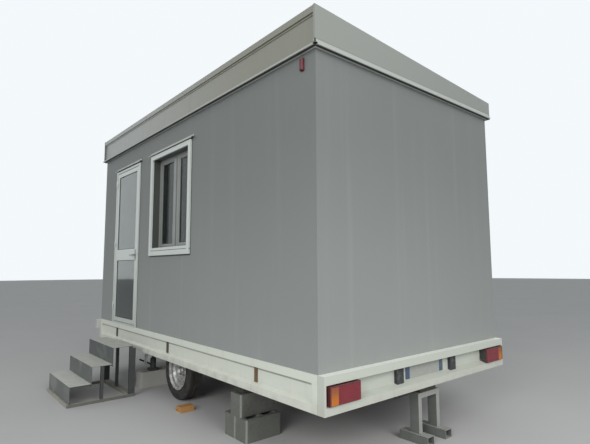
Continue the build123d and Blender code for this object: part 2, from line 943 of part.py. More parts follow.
with BuildPart() as door_glass:
    with BuildSketch(Plane.XZ.offset(-(leaf_front + glass_setback))):
        for pane_bottom, pane_top in panes:
            with Locations(((pane_left + pane_right) / 2, (pane_bottom + pane_top) / 2)):
                Rectangle(pane_right - pane_left, pane_top - pane_bottom)
    extrude(amount=-glass_thickness)
keep(door_glass, "door_glass")

# Hinges: lower knuckle with its pin on the frame, upper knuckle on the leaf
pin_x = door_left + door_face_width + door_gap / 2
pin_y = door_face - door_proud - knuckle_radius
frame_front = door_face - door_proud
top_hinge = door_height - hinge_from_top
hinge_heights = (hinge_from_bottom, (hinge_from_bottom + top_hinge) / 2, top_hinge)
with BuildPart() as hinge_frame_halves:
    for height in hinge_heights:
        base = floor_line + height
        with BuildSketch(Plane.XY.offset(base)):
            with Locations((pin_x, pin_y)):
                Circle(knuckle_radius)
            with Locations((pin_x - hinge_leaf / 2, frame_front - hinge_sheet / 2)):
                Rectangle(hinge_leaf, hinge_sheet)
        extrude(amount=knuckle_length)
        with BuildSketch(Plane.XY.offset(base + knuckle_length)):
            with Locations((pin_x, pin_y)):
                Circle(hinge_pin_radius)
        extrude(amount=knuckle_length)
keep(hinge_frame_halves, "hinge_frame_halves")
with BuildPart() as hinge_leaf_halves:
    for height in hinge_heights:
        base = floor_line + height + knuckle_length + running_gap
        with BuildSketch(Plane.XY.offset(base)):
            with Locations((pin_x, pin_y)):
                Circle(knuckle_radius)
            with Locations((leaf_left + hinge_leaf / 2, leaf_front - hinge_sheet / 2)):
                Rectangle(hinge_leaf, hinge_sheet)
            with Locations((leaf_left + hinge_sheet / 2, (pin_y + leaf_front) / 2)):
                Rectangle(hinge_sheet, leaf_front - pin_y)
            with Locations((pin_x, pin_y)):
                Circle(hinge_pin_radius + running_gap, mode=Mode.SUBTRACT)
        extrude(amount=knuckle_length)
keep(hinge_leaf_halves, "hinge_leaf_halves")

# Door handles: a back plate and a cranked lever on each face of the leaf
handle_x = leaf_right - stile / 2
handle_z = floor_line + handle_height
leaf_back = leaf_front + leaf_thickness
with BuildPart() as door_handle:
    for face_y, out in ((leaf_front, -1), (leaf_back, 1)):
        handle_plane = Plane(origin=(handle_x, face_y, handle_z), x_dir=(1, 0, 0), z_dir=(0, out, 0))
        with BuildSketch(handle_plane):
            RectangleRounded(handle_plate_width, handle_plate_height, handle_plate_width / 3)
        extrude(amount=handle_plate_depth)
        with BuildSketch(handle_plane):
            Circle(handle_radius)
        extrude(amount=handle_reach)
        lever_plane = Plane(
            origin=(handle_x + handle_radius, face_y + out * (handle_reach - handle_radius), handle_z),
            x_dir=(0, 1, 0),
            z_dir=(-1, 0, 0),
        )
        with BuildSketch(lever_plane):
            RectangleRounded(2 * handle_radius * 0.7, 2 * handle_radius, handle_radius * 0.5)
        extrude(amount=handle_length)
keep(door_handle, "door_handle")

# Drip caps: small sloping flashings over the door and the window
with BuildPart() as drip_caps:
    for left, right, top, overhang in (
        (door_left, door_right, door_top, cap_overhang_door),
        (window_left, window_right, window_top, cap_overhang_window),
    ):
        with BuildSketch(Plane.YZ.offset(left - overhang)):
            folded(
                (
                    (door_face, top + cap_above + cap_leg),
                    (door_face, top + cap_above),
                    (door_face - cap_reach, top + cap_above - cap_fall),
                    (door_face - cap_reach, top + cap_above - cap_fall - 2 * cap_sheet),
                ),
                -cap_sheet,
            )
        extrude(amount=right - left + 2 * overhang)
keep(drip_caps, "drip_caps")

# Window frame: casing on the wall, deep lining through it and a sill track in front of the sashes
with BuildPart() as window_frame:
    face = window_face_width
    opening_frame(
        window_left, window_right, window_bottom, window_top, -window_proud, 0, (face, face, face, face)
    )
    lining = face - window_lap
    opening_frame(
        window_left + window_lap,
        window_right - window_lap,
        window_bottom + window_lap,
        window_top - window_lap,
        0,
        window_depth - window_proud,
        (lining, lining, lining, lining),
    )
    glazed_left = window_left + face
    glazed_right = window_right - face
    glazed_bottom = window_bottom + face
    glazed_top = window_top - face
    sash_front = door_face - window_proud + sash_setback
    box_between(
        glazed_left,
        glazed_right,
        door_face - window_proud + track_setback,
        sash_front,
        glazed_bottom,
        glazed_bottom + track_height,
    )
keep(window_frame, "window_frame")

# Window sashes: two casements that meet in the middle, with a cover strip over the joint
sash_width = (glazed_right - glazed_left - sash_gap) / 2
window_middle = (glazed_left + glazed_right) / 2
sash_height = glazed_top - glazed_bottom
sash_centres = (glazed_left + sash_width / 2, glazed_right - sash_width / 2)
strip_x = window_middle - cover_strip / 2 - sash_gap / 6
light_width = sash_width - 2 * sash_member
light_height = sash_height - sash_member - sash_head
light_middle = glazed_bottom + sash_member + light_height / 2
with BuildPart() as window_sashes:
    with BuildSketch(Plane.XZ.offset(-sash_front)):
        with Locations(*[(centre, (glazed_bottom + glazed_top) / 2) for centre in sash_centres]):
            Rectangle(sash_width, sash_height)
        with Locations(*[(centre, light_middle) for centre in sash_centres]):
            Rectangle(light_width, light_height, mode=Mode.SUBTRACT)
    extrude(amount=-sash_thickness)
    with BuildSketch(Plane.XZ.offset(-sash_front)):
        with Locations((strip_x, (glazed_bottom + glazed_top) / 2)):
            Rectangle(cover_strip, sash_height - 2 * track_height)
    extrude(amount=cover_strip_depth)
keep(window_sashes, "window_sashes")
with BuildPart() as window_glass:
    with BuildSketch(Plane.XZ.offset(-(sash_front + glass_setback))):
        with Locations(*[(centre, light_middle) for centre in sash_centres]):
            Rectangle(light_width, light_height)
    extrude(amount=-glass_thickness)
keep(window_glass, "window_glass")

# Rear lamps: a dark body on the web and one long lens on it, at each side
body_depth = lamp_depth - lens_depth
lamp_back_z = lip_top + slope_drop + lamp_rise
lamp_low_z = lamp_back_z - slope_drop * body_depth / rear_projection
lamp_centre_z = lamp_low_z + lamp_height / 2
lamp_y = beam_outer_y + end_plate_width + lamp_from_plate + lamp_width / 2
with BuildPart() as rear_lamp_bodies:
    with BuildSketch(Plane.XZ.offset(-(lamp_y + lamp_width / 2))):
        with BuildLine():
            Polyline(
                (rear_face, lamp_back_z),
                (rear_face + body_depth, lamp_low_z),
                (rear_face + body_depth, lamp_low_z + lamp_height),
                (rear_face, lamp_low_z + lamp_height),
                close=True,
            )
        make_face()
    extrude(amount=lamp_width)
    mirror(about=about_middle)
keep(rear_lamp_bodies, "rear_lamp_bodies")
with BuildPart() as rear_lamp_lenses:
    with BuildSketch(Plane.YZ.offset(rear_face + body_depth)):
        with Locations((lamp_y, lamp_centre_z)):
            Rectangle(lamp_width, lamp_height)
    extrude(amount=lens_depth)
    fillet(rear_lamp_lenses.faces().sort_by(Axis.X)[-1].edges(), lens_depth / 4)
    mirror(about=about_middle)
keep(rear_lamp_lenses, "rear_lamp_lenses")

# Side reflectors: upright strips on the side beams' webs
reflector_z = (strip_bottom + lip_top + slope_drop) / 2
reflector_places = (
    front_face + reflector_from_front, mid_x + reflector_middle, rear_face - reflector_from_rear
)
with BuildPart() as side_reflectors:
    with BuildSketch(Plane.XZ.offset(-web_y)):
        with Locations(*[(place, reflector_z) for place in reflector_places]):
            Rectangle(reflector_width, reflector_height)
    extrude(amount=reflector_depth)
    mirror(about=about_middle)
keep(side_reflectors, "side_reflectors")

# Marker lamps: small upright lenses near the top rear corners of both long walls
with BuildPart() as top_marker_lamps:
    with BuildSketch(Plane.XZ.offset(-door_face)):
        with Locations((rear_face - marker_from_rear, fascia_underside - marker_below_fascia)):
            Rectangle(marker_width, marker_height)
    extrude(amount=marker_depth)
    chamfer(top_marker_lamps.faces().sort_by(Axis.Y)[0].edges(), marker_depth / 4)
    mirror(about=about_middle)
keep(top_marker_lamps, "top_marker_lamps")

# Front marker lamps: small upright housings on the front beam, standing out past its corners
with BuildPart() as front_marker_lamps:
    lamp_corner_y = beam_outer_y - front_lamp_overhang + front_lamp_width / 2
    with BuildSketch(Plane.YZ.offset(front_face - front_projection)):
        with Locations((lamp_corner_y, front_lamp_centre)):
            Rectangle(front_lamp_width, front_lamp_height)
    extrude(amount=-front_lamp_depth)
    chamfer(front_marker_lamps.faces().sort_by(Axis.X)[0].edges(), front_lamp_width / 5)
    mirror(about=about_middle)
keep(front_marker_lamps, "front_marker_lamps")

# Number plate: a plain sheet on the rear web
plate_z = (strip_bottom + lip_top + slope_drop) / 2
with BuildPart() as number_plate:
    with BuildSketch(Plane.YZ.offset(rear_face)):
        with Locations((mid_y + plate_centre, plate_z)):
            RectangleRounded(plate_width, plate_height, plate_height / 12)
    extrude(amount=plate_sheet)
keep(number_plate, "number_plate")

# Rubber buffers: rounded blocks on the rear web beside the number plate, their feet cut to the sloping flange
buffer_top = strip_bottom - buffer_top_gap
slope_back = lip_top + slope_drop + slope_clearance
slope_front = slope_back - slope_drop * 2 * buffer_depth / rear_projection
with BuildPart() as rubber_buffers:
    with BuildSketch(Plane.YZ.offset(rear_face)):
        with Locations((mid_y, buffer_top - buffer_height / 2)):
            with GridLocations(buffer_spread, 0, 2, 1):
                RectangleRounded(buffer_width, buffer_height, buffer_corner)
    extrude(amount=buffer_depth)
    with BuildSketch(Plane.XZ.offset(-(mid_y + buffer_spread))):
        with BuildLine():
            Polyline(
                (rear_face, slope_back),
                (rear_face + 2 * buffer_depth, slope_front),
                (rear_face + 2 * buffer_depth, slope_front - buffer_height),
                (rear_face, slope_front - buffer_height),
                close=True,
            )
        make_face()
    extrude(amount=2 * buffer_spread, mode=Mode.SUBTRACT)
keep(rubber_buffers, "rubber_buffers")


cell_length = (block_length - 3 * block_wall) / 2


def concrete_blocks(places, base):
    """Concrete blocks with rounded upright corners and two cells each, their length across the cabin."""
    with BuildSketch(Plane.XY.offset(base)) as plan:
        with Locations(*places):
            RectangleRounded(block_width, block_length, block_corner)
            with GridLocations(0, cell_length + block_wall, 1, 2):
                Rectangle(block_width - 2 * block_wall, cell_length, mode=Mode.SUBTRACT)
    extrude(plan.sketch, amount=block_height)


# Concrete blocks: a pair with one on top at each rear corner, and one at each front corner
stack_x = rear_face - stack_from_rear
front_block_x = front_face + front_block_from_front
block_y = beam_outer_y + block_inset + block_length / 2
pair_shift = (block_width + block_gap) / 2
with BuildPart() as ground_blocks:
    concrete_blocks(
        ((stack_x - pair_shift, block_y), (stack_x + pair_shift, block_y), (front_block_x, block_y)), 0
    )
    mirror(about=about_middle)
keep(ground_blocks, "ground_blocks")
with BuildPart() as upper_blocks:
    concrete_blocks(((stack_x, block_y),), block_height)
    mirror(about=about_middle)
keep(upper_blocks, "upper_blocks")

# Timber shims: bearers between the blocks, jacks or trestle and the chassis
shim_y = block_y + shim_set_back
trestle_x = rear_face - trestle_from_rear
trestle_middle = mid_y + (trestle_posts[0] + trestle_posts[1]) / 2
with BuildPart() as timber_shims:
    box_between(
        stack_x - shim_width / 2,
        stack_x + shim_width / 2,
        shim_y - shim_length / 2,
        shim_y + shim_length / 2,
        2 * block_height,
        ground_clearance,
    )
    box_between(
        front_block_x - shim_width / 2,
        front_block_x + shim_width / 2,
        shim_y - shim_length / 2,
        shim_y + shim_length / 2,
        ground_clearance - jack_shim,
        ground_clearance,
    )
    mirror(about=about_middle)
    box_between(
        trestle_x - bearer_width / 2,
        trestle_x + bearer_width / 2,
        trestle_middle - bearer_length / 2,
        trestle_middle + bearer_length / 2,
        trestle_height,
        ground_clearance,
    )
keep(timber_shims, "timber_shims")

# Jacks: bottle jacks on the front blocks, under the bearers
jack_top = ground_clearance - jack_shim
with BuildPart() as front_jacks:
    with BuildSketch(Plane.XY.offset(block_height)):
        with Locations((front_block_x, block_y)):
            RectangleRounded(jack_base_width, jack_base_width, jack_base_width / 8)
    extrude(amount=jack_base_height)
    with BuildSketch(Plane.XZ.offset(-block_y)):
        with BuildLine():
            body_top = block_height + jack_base_height + jack_body_height
            Polyline(
                (front_block_x, block_height + jack_base_height / 2),
                (front_block_x + jack_body_radius, block_height + jack_base_height / 2),
                (front_block_x + jack_body_radius, body_top - jack_body_radius / 4),
                (front_block_x + jack_body_radius * 0.75, body_top),
                (front_block_x + jack_ram_radius, body_top),
                (front_block_x + jack_ram_radius, jack_top - jack_saddle_height),
                (front_block_x + jack_saddle_radius, jack_top - jack_saddle_height),
                (front_block_x + jack_saddle_radius, jack_top),
                (front_block_x, jack_top),
                close=True,
            )
        make_face()
    revolve(axis=Axis((front_block_x, block_y, 0), (0, 0, 1)))
    socket_plane = Plane(
        origin=(front_block_x, block_y, block_height + jack_base_height + jack_body_radius),
        x_dir=(1, 0, 0),
        z_dir=(0, -1, 0.5),
    )
    with BuildSketch(socket_plane):
        Circle(jack_handle_radius)
    extrude(amount=jack_handle_length)
    mirror(about=about_middle)
keep(front_jacks, "front_jacks")

# Rear trestle: two tube posts on open tube feet, joined by a bar, with a bearer up to the rear tie
with BuildPart() as rear_trestle:
    for post_y in trestle_posts:
        foot_y = mid_y + post_y
        with BuildSketch(Plane.YZ.offset(trestle_x - trestle_foot_length / 2)):
            with Locations((foot_y, trestle_foot_height / 2)):
                Rectangle(trestle_foot_width, trestle_foot_height)
                Rectangle(
                    trestle_foot_width - 2 * trestle_wall,
                    trestle_foot_height - 2 * trestle_wall,
                    mode=Mode.SUBTRACT,
                )
        extrude(amount=trestle_foot_length)
        box_between(
            trestle_x - trestle_post_depth / 2,
            trestle_x + trestle_post_depth / 2,
            foot_y - trestle_post_width / 2,
            foot_y + trestle_post_width / 2,
            trestle_foot_height - trestle_wall / 2,
            trestle_height,
        )
    box_between(
        trestle_x - trestle_post_depth / 2,
        trestle_x + trestle_post_depth / 2,
        mid_y + trestle_posts[0],
        mid_y + trestle_posts[1],
        trestle_height - trestle_bar,
        trestle_height,
    )
keep(rear_trestle, "rear_trestle")

# Wheel chock: a rough timber block on the ground behind the near tyre
chock_x = wheel_x + chock_behind_wheel
chock_inner_y = mid_y - rim_plane + rim_width / 2 - tyre_width / 2 - chock_from_tyre
with BuildPart() as wheel_chock:
    with BuildSketch(Plane.XZ.offset(-chock_inner_y)):
        with Locations((chock_x, chock_height / 2)):
            Trapezoid(chock_length, chock_height, 70)
    extrude(amount=chock_width)
keep(wheel_chock, "wheel_chock")

# Steps: three folded treads with deep front skirts, each skirt standing on the tread or base below
top_tread_height = base_height + 3 * tread_rise
step_centre = (door_left + door_right) / 2 + steps_past_door
step_left = step_centre - step_width / 2
step_right = step_centre + step_width / 2
step_back = beam_outer_y - step_gap
with BuildPart() as step_treads:
    for level in range(3):
        top = top_tread_height - level * tread_rise
        back = step_back - level * tread_going
        front = back - tread_depth
        skirt_bottom = base_height if level == 2 else top - tread_rise + running_gap
        with BuildSketch(Plane.YZ.offset(step_left)):
            folded(
                ((back, top - tread_lip), (back, top), (front, top), (front, skirt_bottom)), tread_sheet
            )
        extrude(amount=step_width)
keep(step_treads, "step_treads")

# Step frame: a base ring, three rear posts, the corner ones deeper behind the top tread, and two side posts
post_back = step_back - tread_sheet
frame_back = post_back - step_bar + back_post_depth
base_front = step_back - 2 * tread_going - tread_depth - base_reach
with BuildPart() as step_side_frames:
    box_between(step_left, step_right, base_front, frame_back, 0, base_height)
    box_between(
        step_left + step_bar,
        step_right - step_bar,
        base_front + base_reach + step_bar,
        post_back - step_bar,
        0,
        base_height,
        Mode.SUBTRACT,
    )
    step_middle = (step_left + step_right - step_bar) / 2
    for post_x in (step_left, step_middle, step_right - step_bar):
        box_between(
            post_x, post_x + step_bar, post_back - step_bar, post_back, 0, top_tread_height - tread_sheet
        )
    corner_post_top = top_tread_height - tread_lip - running_gap
    side_post_back = step_back - tread_going - side_post_place
    for post_x in (step_left, step_right - step_bar):
        box_between(post_x, post_x + step_bar, post_back, frame_back, 0, corner_post_top)
        box_between(
            post_x,
            post_x + step_bar,
            side_post_back - step_bar,
            side_post_back,
            0,
            top_tread_height - tread_rise - tread_sheet,
        )
keep(step_side_frames, "step_side_frames")
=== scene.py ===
import math

import bpy
from mathutils import Matrix, Vector


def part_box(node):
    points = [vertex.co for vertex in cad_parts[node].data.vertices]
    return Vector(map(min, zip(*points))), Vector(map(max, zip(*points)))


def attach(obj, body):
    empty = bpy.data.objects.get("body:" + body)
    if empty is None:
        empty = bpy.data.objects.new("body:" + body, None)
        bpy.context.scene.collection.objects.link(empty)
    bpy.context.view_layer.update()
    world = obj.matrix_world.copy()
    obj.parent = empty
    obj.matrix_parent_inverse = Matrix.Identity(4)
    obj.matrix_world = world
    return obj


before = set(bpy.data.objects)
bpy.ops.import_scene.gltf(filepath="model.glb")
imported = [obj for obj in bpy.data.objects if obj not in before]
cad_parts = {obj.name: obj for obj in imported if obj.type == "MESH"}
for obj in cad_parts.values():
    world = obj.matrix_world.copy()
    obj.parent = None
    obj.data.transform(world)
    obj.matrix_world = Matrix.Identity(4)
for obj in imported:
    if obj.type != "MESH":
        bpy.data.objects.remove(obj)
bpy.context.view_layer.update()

# Chassis frame
# Folded steel perimeter beams with deep end beams, welded at the corners and
# sprayed off-white; road dust gathers along the lower lip. Each beam has a painted shadow line on the web
# under its top strip, the end beams' up-facing ledge has a painted highlight, and the side beams have a
# paler copy of the paint as painted light.


class Field:
    """One socket of a finish's nodes, usable in plain sums."""

    def __init__(self, tree, socket=None):
        self.tree = tree
        self.socket = socket

    def node(self, kind, settings, sockets, out=0):
        made = self.tree.nodes.new(kind)
        for name, value in settings.items():
            setattr(made, name, value)
        for name, value in sockets.items():
            if isinstance(value, Field):
                self.tree.links.new(value.socket, made.inputs[name])
            else:
                made.inputs[name].default_value = value
        return Field(self.tree, made.outputs[out])

    def sum(self, operation, first, second=0.0):
        return self.node("ShaderNodeMath", {"operation": operation}, {0: first, 1: second})

    def __add__(self, other):
        return self.sum("ADD", self, other)

    def __radd__(self, other):
        return self.sum("ADD", other, self)

    def __sub__(self, other):
        return self.sum("SUBTRACT", self, other)

    def __rsub__(self, other):
        return self.sum("SUBTRACT", other, self)

    def __mul__(self, other):
        return self.sum("MULTIPLY", self, other)

    def __rmul__(self, other):
        return self.sum("MULTIPLY", other, self)

    def __truediv__(self, other):
        return self.sum("DIVIDE", self, other)

    def __pow__(self, other):
        return self.sum("POWER", self, other)

    def __abs__(self):
        return self.sum("ABSOLUTE", self)

    def larger(self, other):
        return self.sum("MAXIMUM", self, other)

    def smaller(self, other):
        return self.sum("MINIMUM", self, other)

    def sine(self):
        return self.sum("SINE", self)

    def along(self, axis):
        return self.node("ShaderNodeSeparateXYZ", {}, {0: self}, axis)

    def facing(self):
        return self.node("ShaderNodeNewGeometry", {}, {}, "Normal")

    def stretched(self, x, y, z):
        return self.node("ShaderNodeVectorMath", {"operation": "MULTIPLY"}, {0: self, 1: (x, y, z)})

    def noise(self, scale, detail=2.0, roughness=0.5):
        return self.node("ShaderNodeTexNoise", {}, {"Vector": self, "Scale": scale, "Detail": detail,
                                                    "Roughness": roughness})

    def cells(self, scale):
        return self.node("ShaderNodeTexVoronoi", {}, {"Vector": self, "Scale": scale})

    def rise(self, low, high):
        return self.node("ShaderNodeMapRange", {"interpolation_type": "SMOOTHSTEP"},
                         {"Value": self, "From Min": low, "From Max": high})

    def blend(self, first, second):
        factor, first_colour, second_colour, mixed_colour = 0, 6, 7, 2
        return self.node("ShaderNodeMix", {"data_type": "RGBA"},
                         {factor: self, first_colour: first, second_colour: second}, mixed_colour)


def start_finish(name, **constants):
    """A new finish with its shader's constant sockets set, and the place on the object."""
    finish = bpy.data.materials.new(name)
    finish.use_nodes = True
    tree = finish.node_tree
    tree.nodes.clear()
    shader = tree.nodes.new("ShaderNodeBsdfPrincipled")
    output = tree.nodes.new("ShaderNodeOutputMaterial")
    tree.links.new(shader.outputs[0], output.inputs[0])
    for label, value in constants.items():
        shader.inputs[label.replace("_", " ")].default_value = value
    return finish, Field(tree).node("ShaderNodeTexCoord", {}, {}, "Object")


def lay(finish, colour=None, rough=None, metal=None, height=None, relief=0.001):
    """Feed what changes over the surface to the finish's shader."""
    tree = finish.node_tree
    shader = next(node for node in tree.nodes if node.type == "BSDF_PRINCIPLED")
    bump = None
    if height is not None:
        bump = height.node("ShaderNodeBump", {}, {"Strength": 1.0, "Distance": relief, "Height": height})
    for label, field in (("Base Color", colour), ("Roughness", rough), ("Metallic", metal),
                         ("Normal", bump)):
        if field is not None:
            tree.links.new(field.socket, shader.inputs[label])


def dress(finish, *names):
    """Give the named pieces of the frame a finish."""
    for name in names:
        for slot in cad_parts[name].material_slots:
            slot.material = finish


def middle_and_half(low, high, axis):
    """A box's middle along an axis, and half its width there."""
    return (low[axis] + high[axis]) / 2, (high[axis] - low[axis]) / 2


def sprayed_steel(name, clean, grime, splash, chips=0.0, gloss=0.38, strip_shadow=None, lit_tops=None):
    """Sprayed sheet: orange peel, faint runs, rusty chips, and dust that thins between splash heights.

    A painted shadow line on the web under a strip is set by its height, middle and reach; a painted
    highlight on the up-facing faces above a ledge is set by the ledge's height and the highlight's colour.
    """
    finish, place = start_finish(name)
    height = place.along(2)
    cloud = place.noise(1.1, 3.0)
    mottle = place.noise(9.0, 4.0)
    runs = place.stretched(16.0, 16.0, 0.8).noise(1.0, 3.0)
    low = 1.0 - height.rise(splash[0], splash[1])
    dust = low * (0.25 + 0.75 * mottle.rise(0.35, 0.7)) + 0.22 * runs.rise(0.55, 0.75)
    dust = dust * (0.4 + 0.6 * cloud)
    colour = dust.blend((*clean, 1.0), (*grime, 1.0))
    chip = place.noise(34.0, 5.0).rise(0.74, 0.77) * chips
    rust = (0.16, 0.075, 0.04, 1.0)
    colour = chip.blend(colour, rust)
    # Painted highlight: up-facing faces above the ledge are painted paler, as where light falls on them.
    if lit_tops is not None:
        ledge, pale = lit_tops
        upward = place.facing().along(2).rise(0.8, 0.95)
        colour = (upward * height.rise(ledge, ledge + 0.002)).blend(colour, (*pale, 1.0))
    # Painted shadow: a dark line on the web under the top strip, where the strip shades it.
    if strip_shadow is not None:
        strip_shadow_height, middle, reach = strip_shadow
        shadow = (0.05, 0.05, 0.045, 1.0)
        shadow_line = 1.0 - abs(height - strip_shadow_height).rise(0.004, 0.008)
        shadow_line = shadow_line * (reach - abs(place.along(1) - middle)).rise(0.0, 0.002)
        colour = (shadow_line * (0.3 + 0.35 * mottle)).blend(colour, shadow)
    peel = place.noise(300.0, 1.0)
    lay(finish, colour=colour, rough=gloss + 0.3 * dust + 0.2 * chip + 0.05 * mottle,
        height=peel * 0.3 + mottle * 0.5 - chip, relief=0.0005)
    return finish


road_dust = (0.46, 0.45, 0.39)
splash_heights = (0.42, 0.6)
strip_height = 0.058
# Drop below the strip's edge and end inset of the painted shadow line on each beam.
side_shadow_drop, side_shadow_inset = 0.017, 0.015
end_shadow_drop, end_shadow_inset = 0.013, 0.06
low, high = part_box("side_beams")
strip_edge = high[2] - strip_height
middle, half = middle_and_half(low, high, 1)
# Painted light: the side beams take a paler copy of the off-white paint.
side_beam_lit_paint = sprayed_steel("side_beam_lit_paint", (0.66, 0.685, 0.61), road_dust, splash_heights, 0.4,
                           strip_shadow=(strip_edge - side_shadow_drop, middle, half - side_shadow_inset))
dress(side_beam_lit_paint, "side_beams")
low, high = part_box("rear_beam")
middle, half = middle_and_half(low, high, 1)
chassis_paint = sprayed_steel("chassis_paint", (0.52, 0.545, 0.485), road_dust, splash_heights, 0.4,
                              strip_shadow=(strip_edge - end_shadow_drop, middle, half - end_shadow_inset),
                              lit_tops=(strip_edge, (0.80, 0.82, 0.75)))
dress(chassis_paint, "rear_beam", "front_beam", "drawbar_arms")

# Rails and cross members
# Rolled channels and tubes under the floor, brushed with a dull grey paint
# and browned by road dirt; they carry the floor and the axle.

road_dirt = (0.12, 0.105, 0.085)
under_paint = sprayed_steel("under_paint", (0.13, 0.135, 0.13), road_dirt, (0.3, 0.9), 0.8, 0.6)
dress(under_paint, "chassis_rails", "cross_members")

# Coupling head
# Cast ball housing on a square shank, with its lock lever, left in a dull
# dark casting finish with light rust in patches.

coupling_cast, place = start_finish("coupling_cast", Specular_IOR_Level=0.4)
grain = place.noise(160.0, 4.0)
rust = place.noise(18.0, 5.0).rise(0.52, 0.68)
lay(coupling_cast, colour=rust.blend((0.065, 0.067, 0.07, 1.0), (0.15, 0.07, 0.035, 1.0)),
    rough=0.5 + 0.35 * rust, metal=0.7 - 0.6 * rust, height=grain + rust * 0.4, relief=0.0009)
dress(coupling_cast, "coupling_head")

# Axle
# Rubber-torsion axle: a square tube with a trailing arm and a stub at each
# end, painted black and dusty.

axle_paint = sprayed_steel("axle_paint", (0.035, 0.035, 0.037), road_dirt, (0.2, 0.75), 0.7, 0.5)
dress(axle_paint, "axle")

# Wheel rims
# Pressed steel rims sprayed silver and stained by brake dust, each held by
# five zinc-plated hexagon nuts.

rim_silver, place = start_finish("rim_silver", Specular_IOR_Level=0.5)
grime = place.noise(22.0, 4.0).rise(0.4, 0.72)
flake = place.noise(900.0, 1.0)
lay(rim_silver, colour=grime.blend((0.50, 0.51, 0.50, 1.0), (0.26, 0.25, 0.22, 1.0)),
    rough=0.34 + 0.3 * grime, metal=0.45 - 0.3 * grime, height=flake * 0.25 + grime * 0.3, relief=0.0004)
dress(rim_silver, "near_wheel_rim", "far_wheel_rim")

nut_zinc, place = start_finish("nut_zinc", Metallic=1.0)
tarnish = place.noise(120.0, 3.0)
lay(nut_zinc, colour=tarnish.blend((0.42, 0.42, 0.40, 1.0), (0.22, 0.17, 0.12, 1.0)),
    rough=0.3 + 0.3 * tarnish)


def copied(model, places, name):
    """Copy a model to each place, every copy with its own mesh, and join the copies to one piece."""
    copies = []
    for place in places:
        copy = model.copy()
        copy.data = model.data.copy()
        bpy.context.collection.objects.link(copy)
        copy.matrix_world = place
        copies.append(copy)
    bpy.ops.object.select_all(action="DESELECT")
    for copy in copies:
        copy.select_set(True)
    bpy.context.view_layer.objects.active = copies[0]
    if len(copies) > 1:
        bpy.ops.object.join()
    copies[0].name = name
    return copies[0]


def finish_piece(piece, finish, body):
    """Put a made piece's place in its mesh, give it its finish and let it ride on its body."""
    bpy.ops.object.select_all(action="DESELECT")
    piece.select_set(True)
    bpy.context.view_layer.objects.active = piece
    bpy.ops.object.transform_apply(location=True, rotation=True, scale=True)
    piece.data.materials.clear()
    piece.data.materials.append(finish)
    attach(piece, body)


nut_radius, nut_height, nut_edge = 0.0115, 0.018, 0.0018
nut_count, nut_circle, first_nut = 5, 0.056, 18
disc_inset = 0.072
to_side = Matrix.Rotation(math.pi / 2, 4, "X")
bpy.ops.object.select_all(action="DESELECT")
bpy.ops.mesh.primitive_cylinder_add(vertices=6, radius=nut_radius, depth=nut_height)
nut = bpy.context.object
bpy.ops.object.mode_set(mode="EDIT")
bpy.ops.mesh.select_all(action="SELECT")
bpy.ops.mesh.bevel(offset=nut_edge, segments=2)
bpy.ops.object.mode_set(mode="OBJECT")
for side, body in (("near", "near_wheel"), ("far", "far_wheel")):
    low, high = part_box(side + "_wheel_rim")
    hub_x, hub_z = (low[0] + high[0]) / 2, (low[2] + high[2]) / 2
    outward = -1.0 if side == "near" else 1.0
    disc_y = (low[1] if side == "near" else high[1]) - outward * disc_inset
    places = []
    for index in range(nut_count):
        turn = math.radians(360 / nut_count * index + first_nut)
        spot = (hub_x + nut_circle * math.cos(turn), disc_y + outward * nut_height / 2,
                hub_z + nut_circle * math.sin(turn))
        places.append(Matrix.Translation(spot) @ Matrix.Rotation(turn, 4, "Y") @ to_side)
    finish_piece(copied(nut, places, side + "_wheel_nuts"), nut_zinc, body)
bpy.data.objects.remove(nut)

# Tyres
# Road tyres: sipes cross the tread blocks between the grooves, rings run
# round the side walls, and the rubber is grey with dust.


def road_rubber(name, side):
    """Tyre rubber laid out round one wheel's middle."""
    low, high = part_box(side + "_tyre")
    middle = [(a + b) / 2 for a, b in zip(low, high)]
    sipes_round, sipe_slant, ring_pitch = 62.0, 60.0, 620.0
    finish, place = start_finish(name, Specular_IOR_Level=0.35)
    x, y, z = (place.along(axis) - middle[axis] for axis in range(3))
    radius = (x * x + z * z) ** 0.5
    turn = place.sum("ARCTAN2", z, x)
    sipes = abs((turn * sipes_round + y * sipe_slant).sine()).rise(0.0, 0.28)
    on_tread = radius.rise(0.284, 0.292)
    rings = abs((radius * ring_pitch).sine()).rise(0.1, 0.5)
    on_wall = radius.rise(0.205, 0.22) * (1.0 - radius.rise(0.262, 0.272))
    dust = place.noise(14.0, 4.0).rise(0.35, 0.75) * 0.5 + 0.25 * on_tread
    grain = place.noise(500.0, 2.0)
    height = on_tread * sipes + on_wall * rings * 0.35 + grain * 0.12
    lay(finish, colour=dust.blend((0.021, 0.021, 0.022, 1.0), (0.10, 0.092, 0.075, 1.0)),
        rough=0.62 + 0.25 * dust, height=height, relief=0.003)
    return finish


dress(road_rubber("near_tyre_rubber", "near"), "near_tyre")
dress(road_rubber("far_tyre_rubber", "far"), "far_tyre")

# Floor
# Sealed board on the chassis, covered inside with a flecked grey-brown sheet
# that is scuffed in patches.

floor_sheet, place = start_finish("floor_sheet", Specular_IOR_Level=0.4)
fleck = place.cells(140.0)
scuff = place.noise(6.0, 5.0).rise(0.45, 0.75)
worn = fleck.rise(0.0, 0.8) * 0.5 + scuff * 0.4
lay(floor_sheet, colour=worn.blend((0.20, 0.19, 0.175, 1.0), (0.11, 0.10, 0.09, 1.0)),
    rough=0.35 + 0.35 * scuff, height=fleck * 0.3, relief=0.0004)
dress(floor_sheet, "floor_panel")
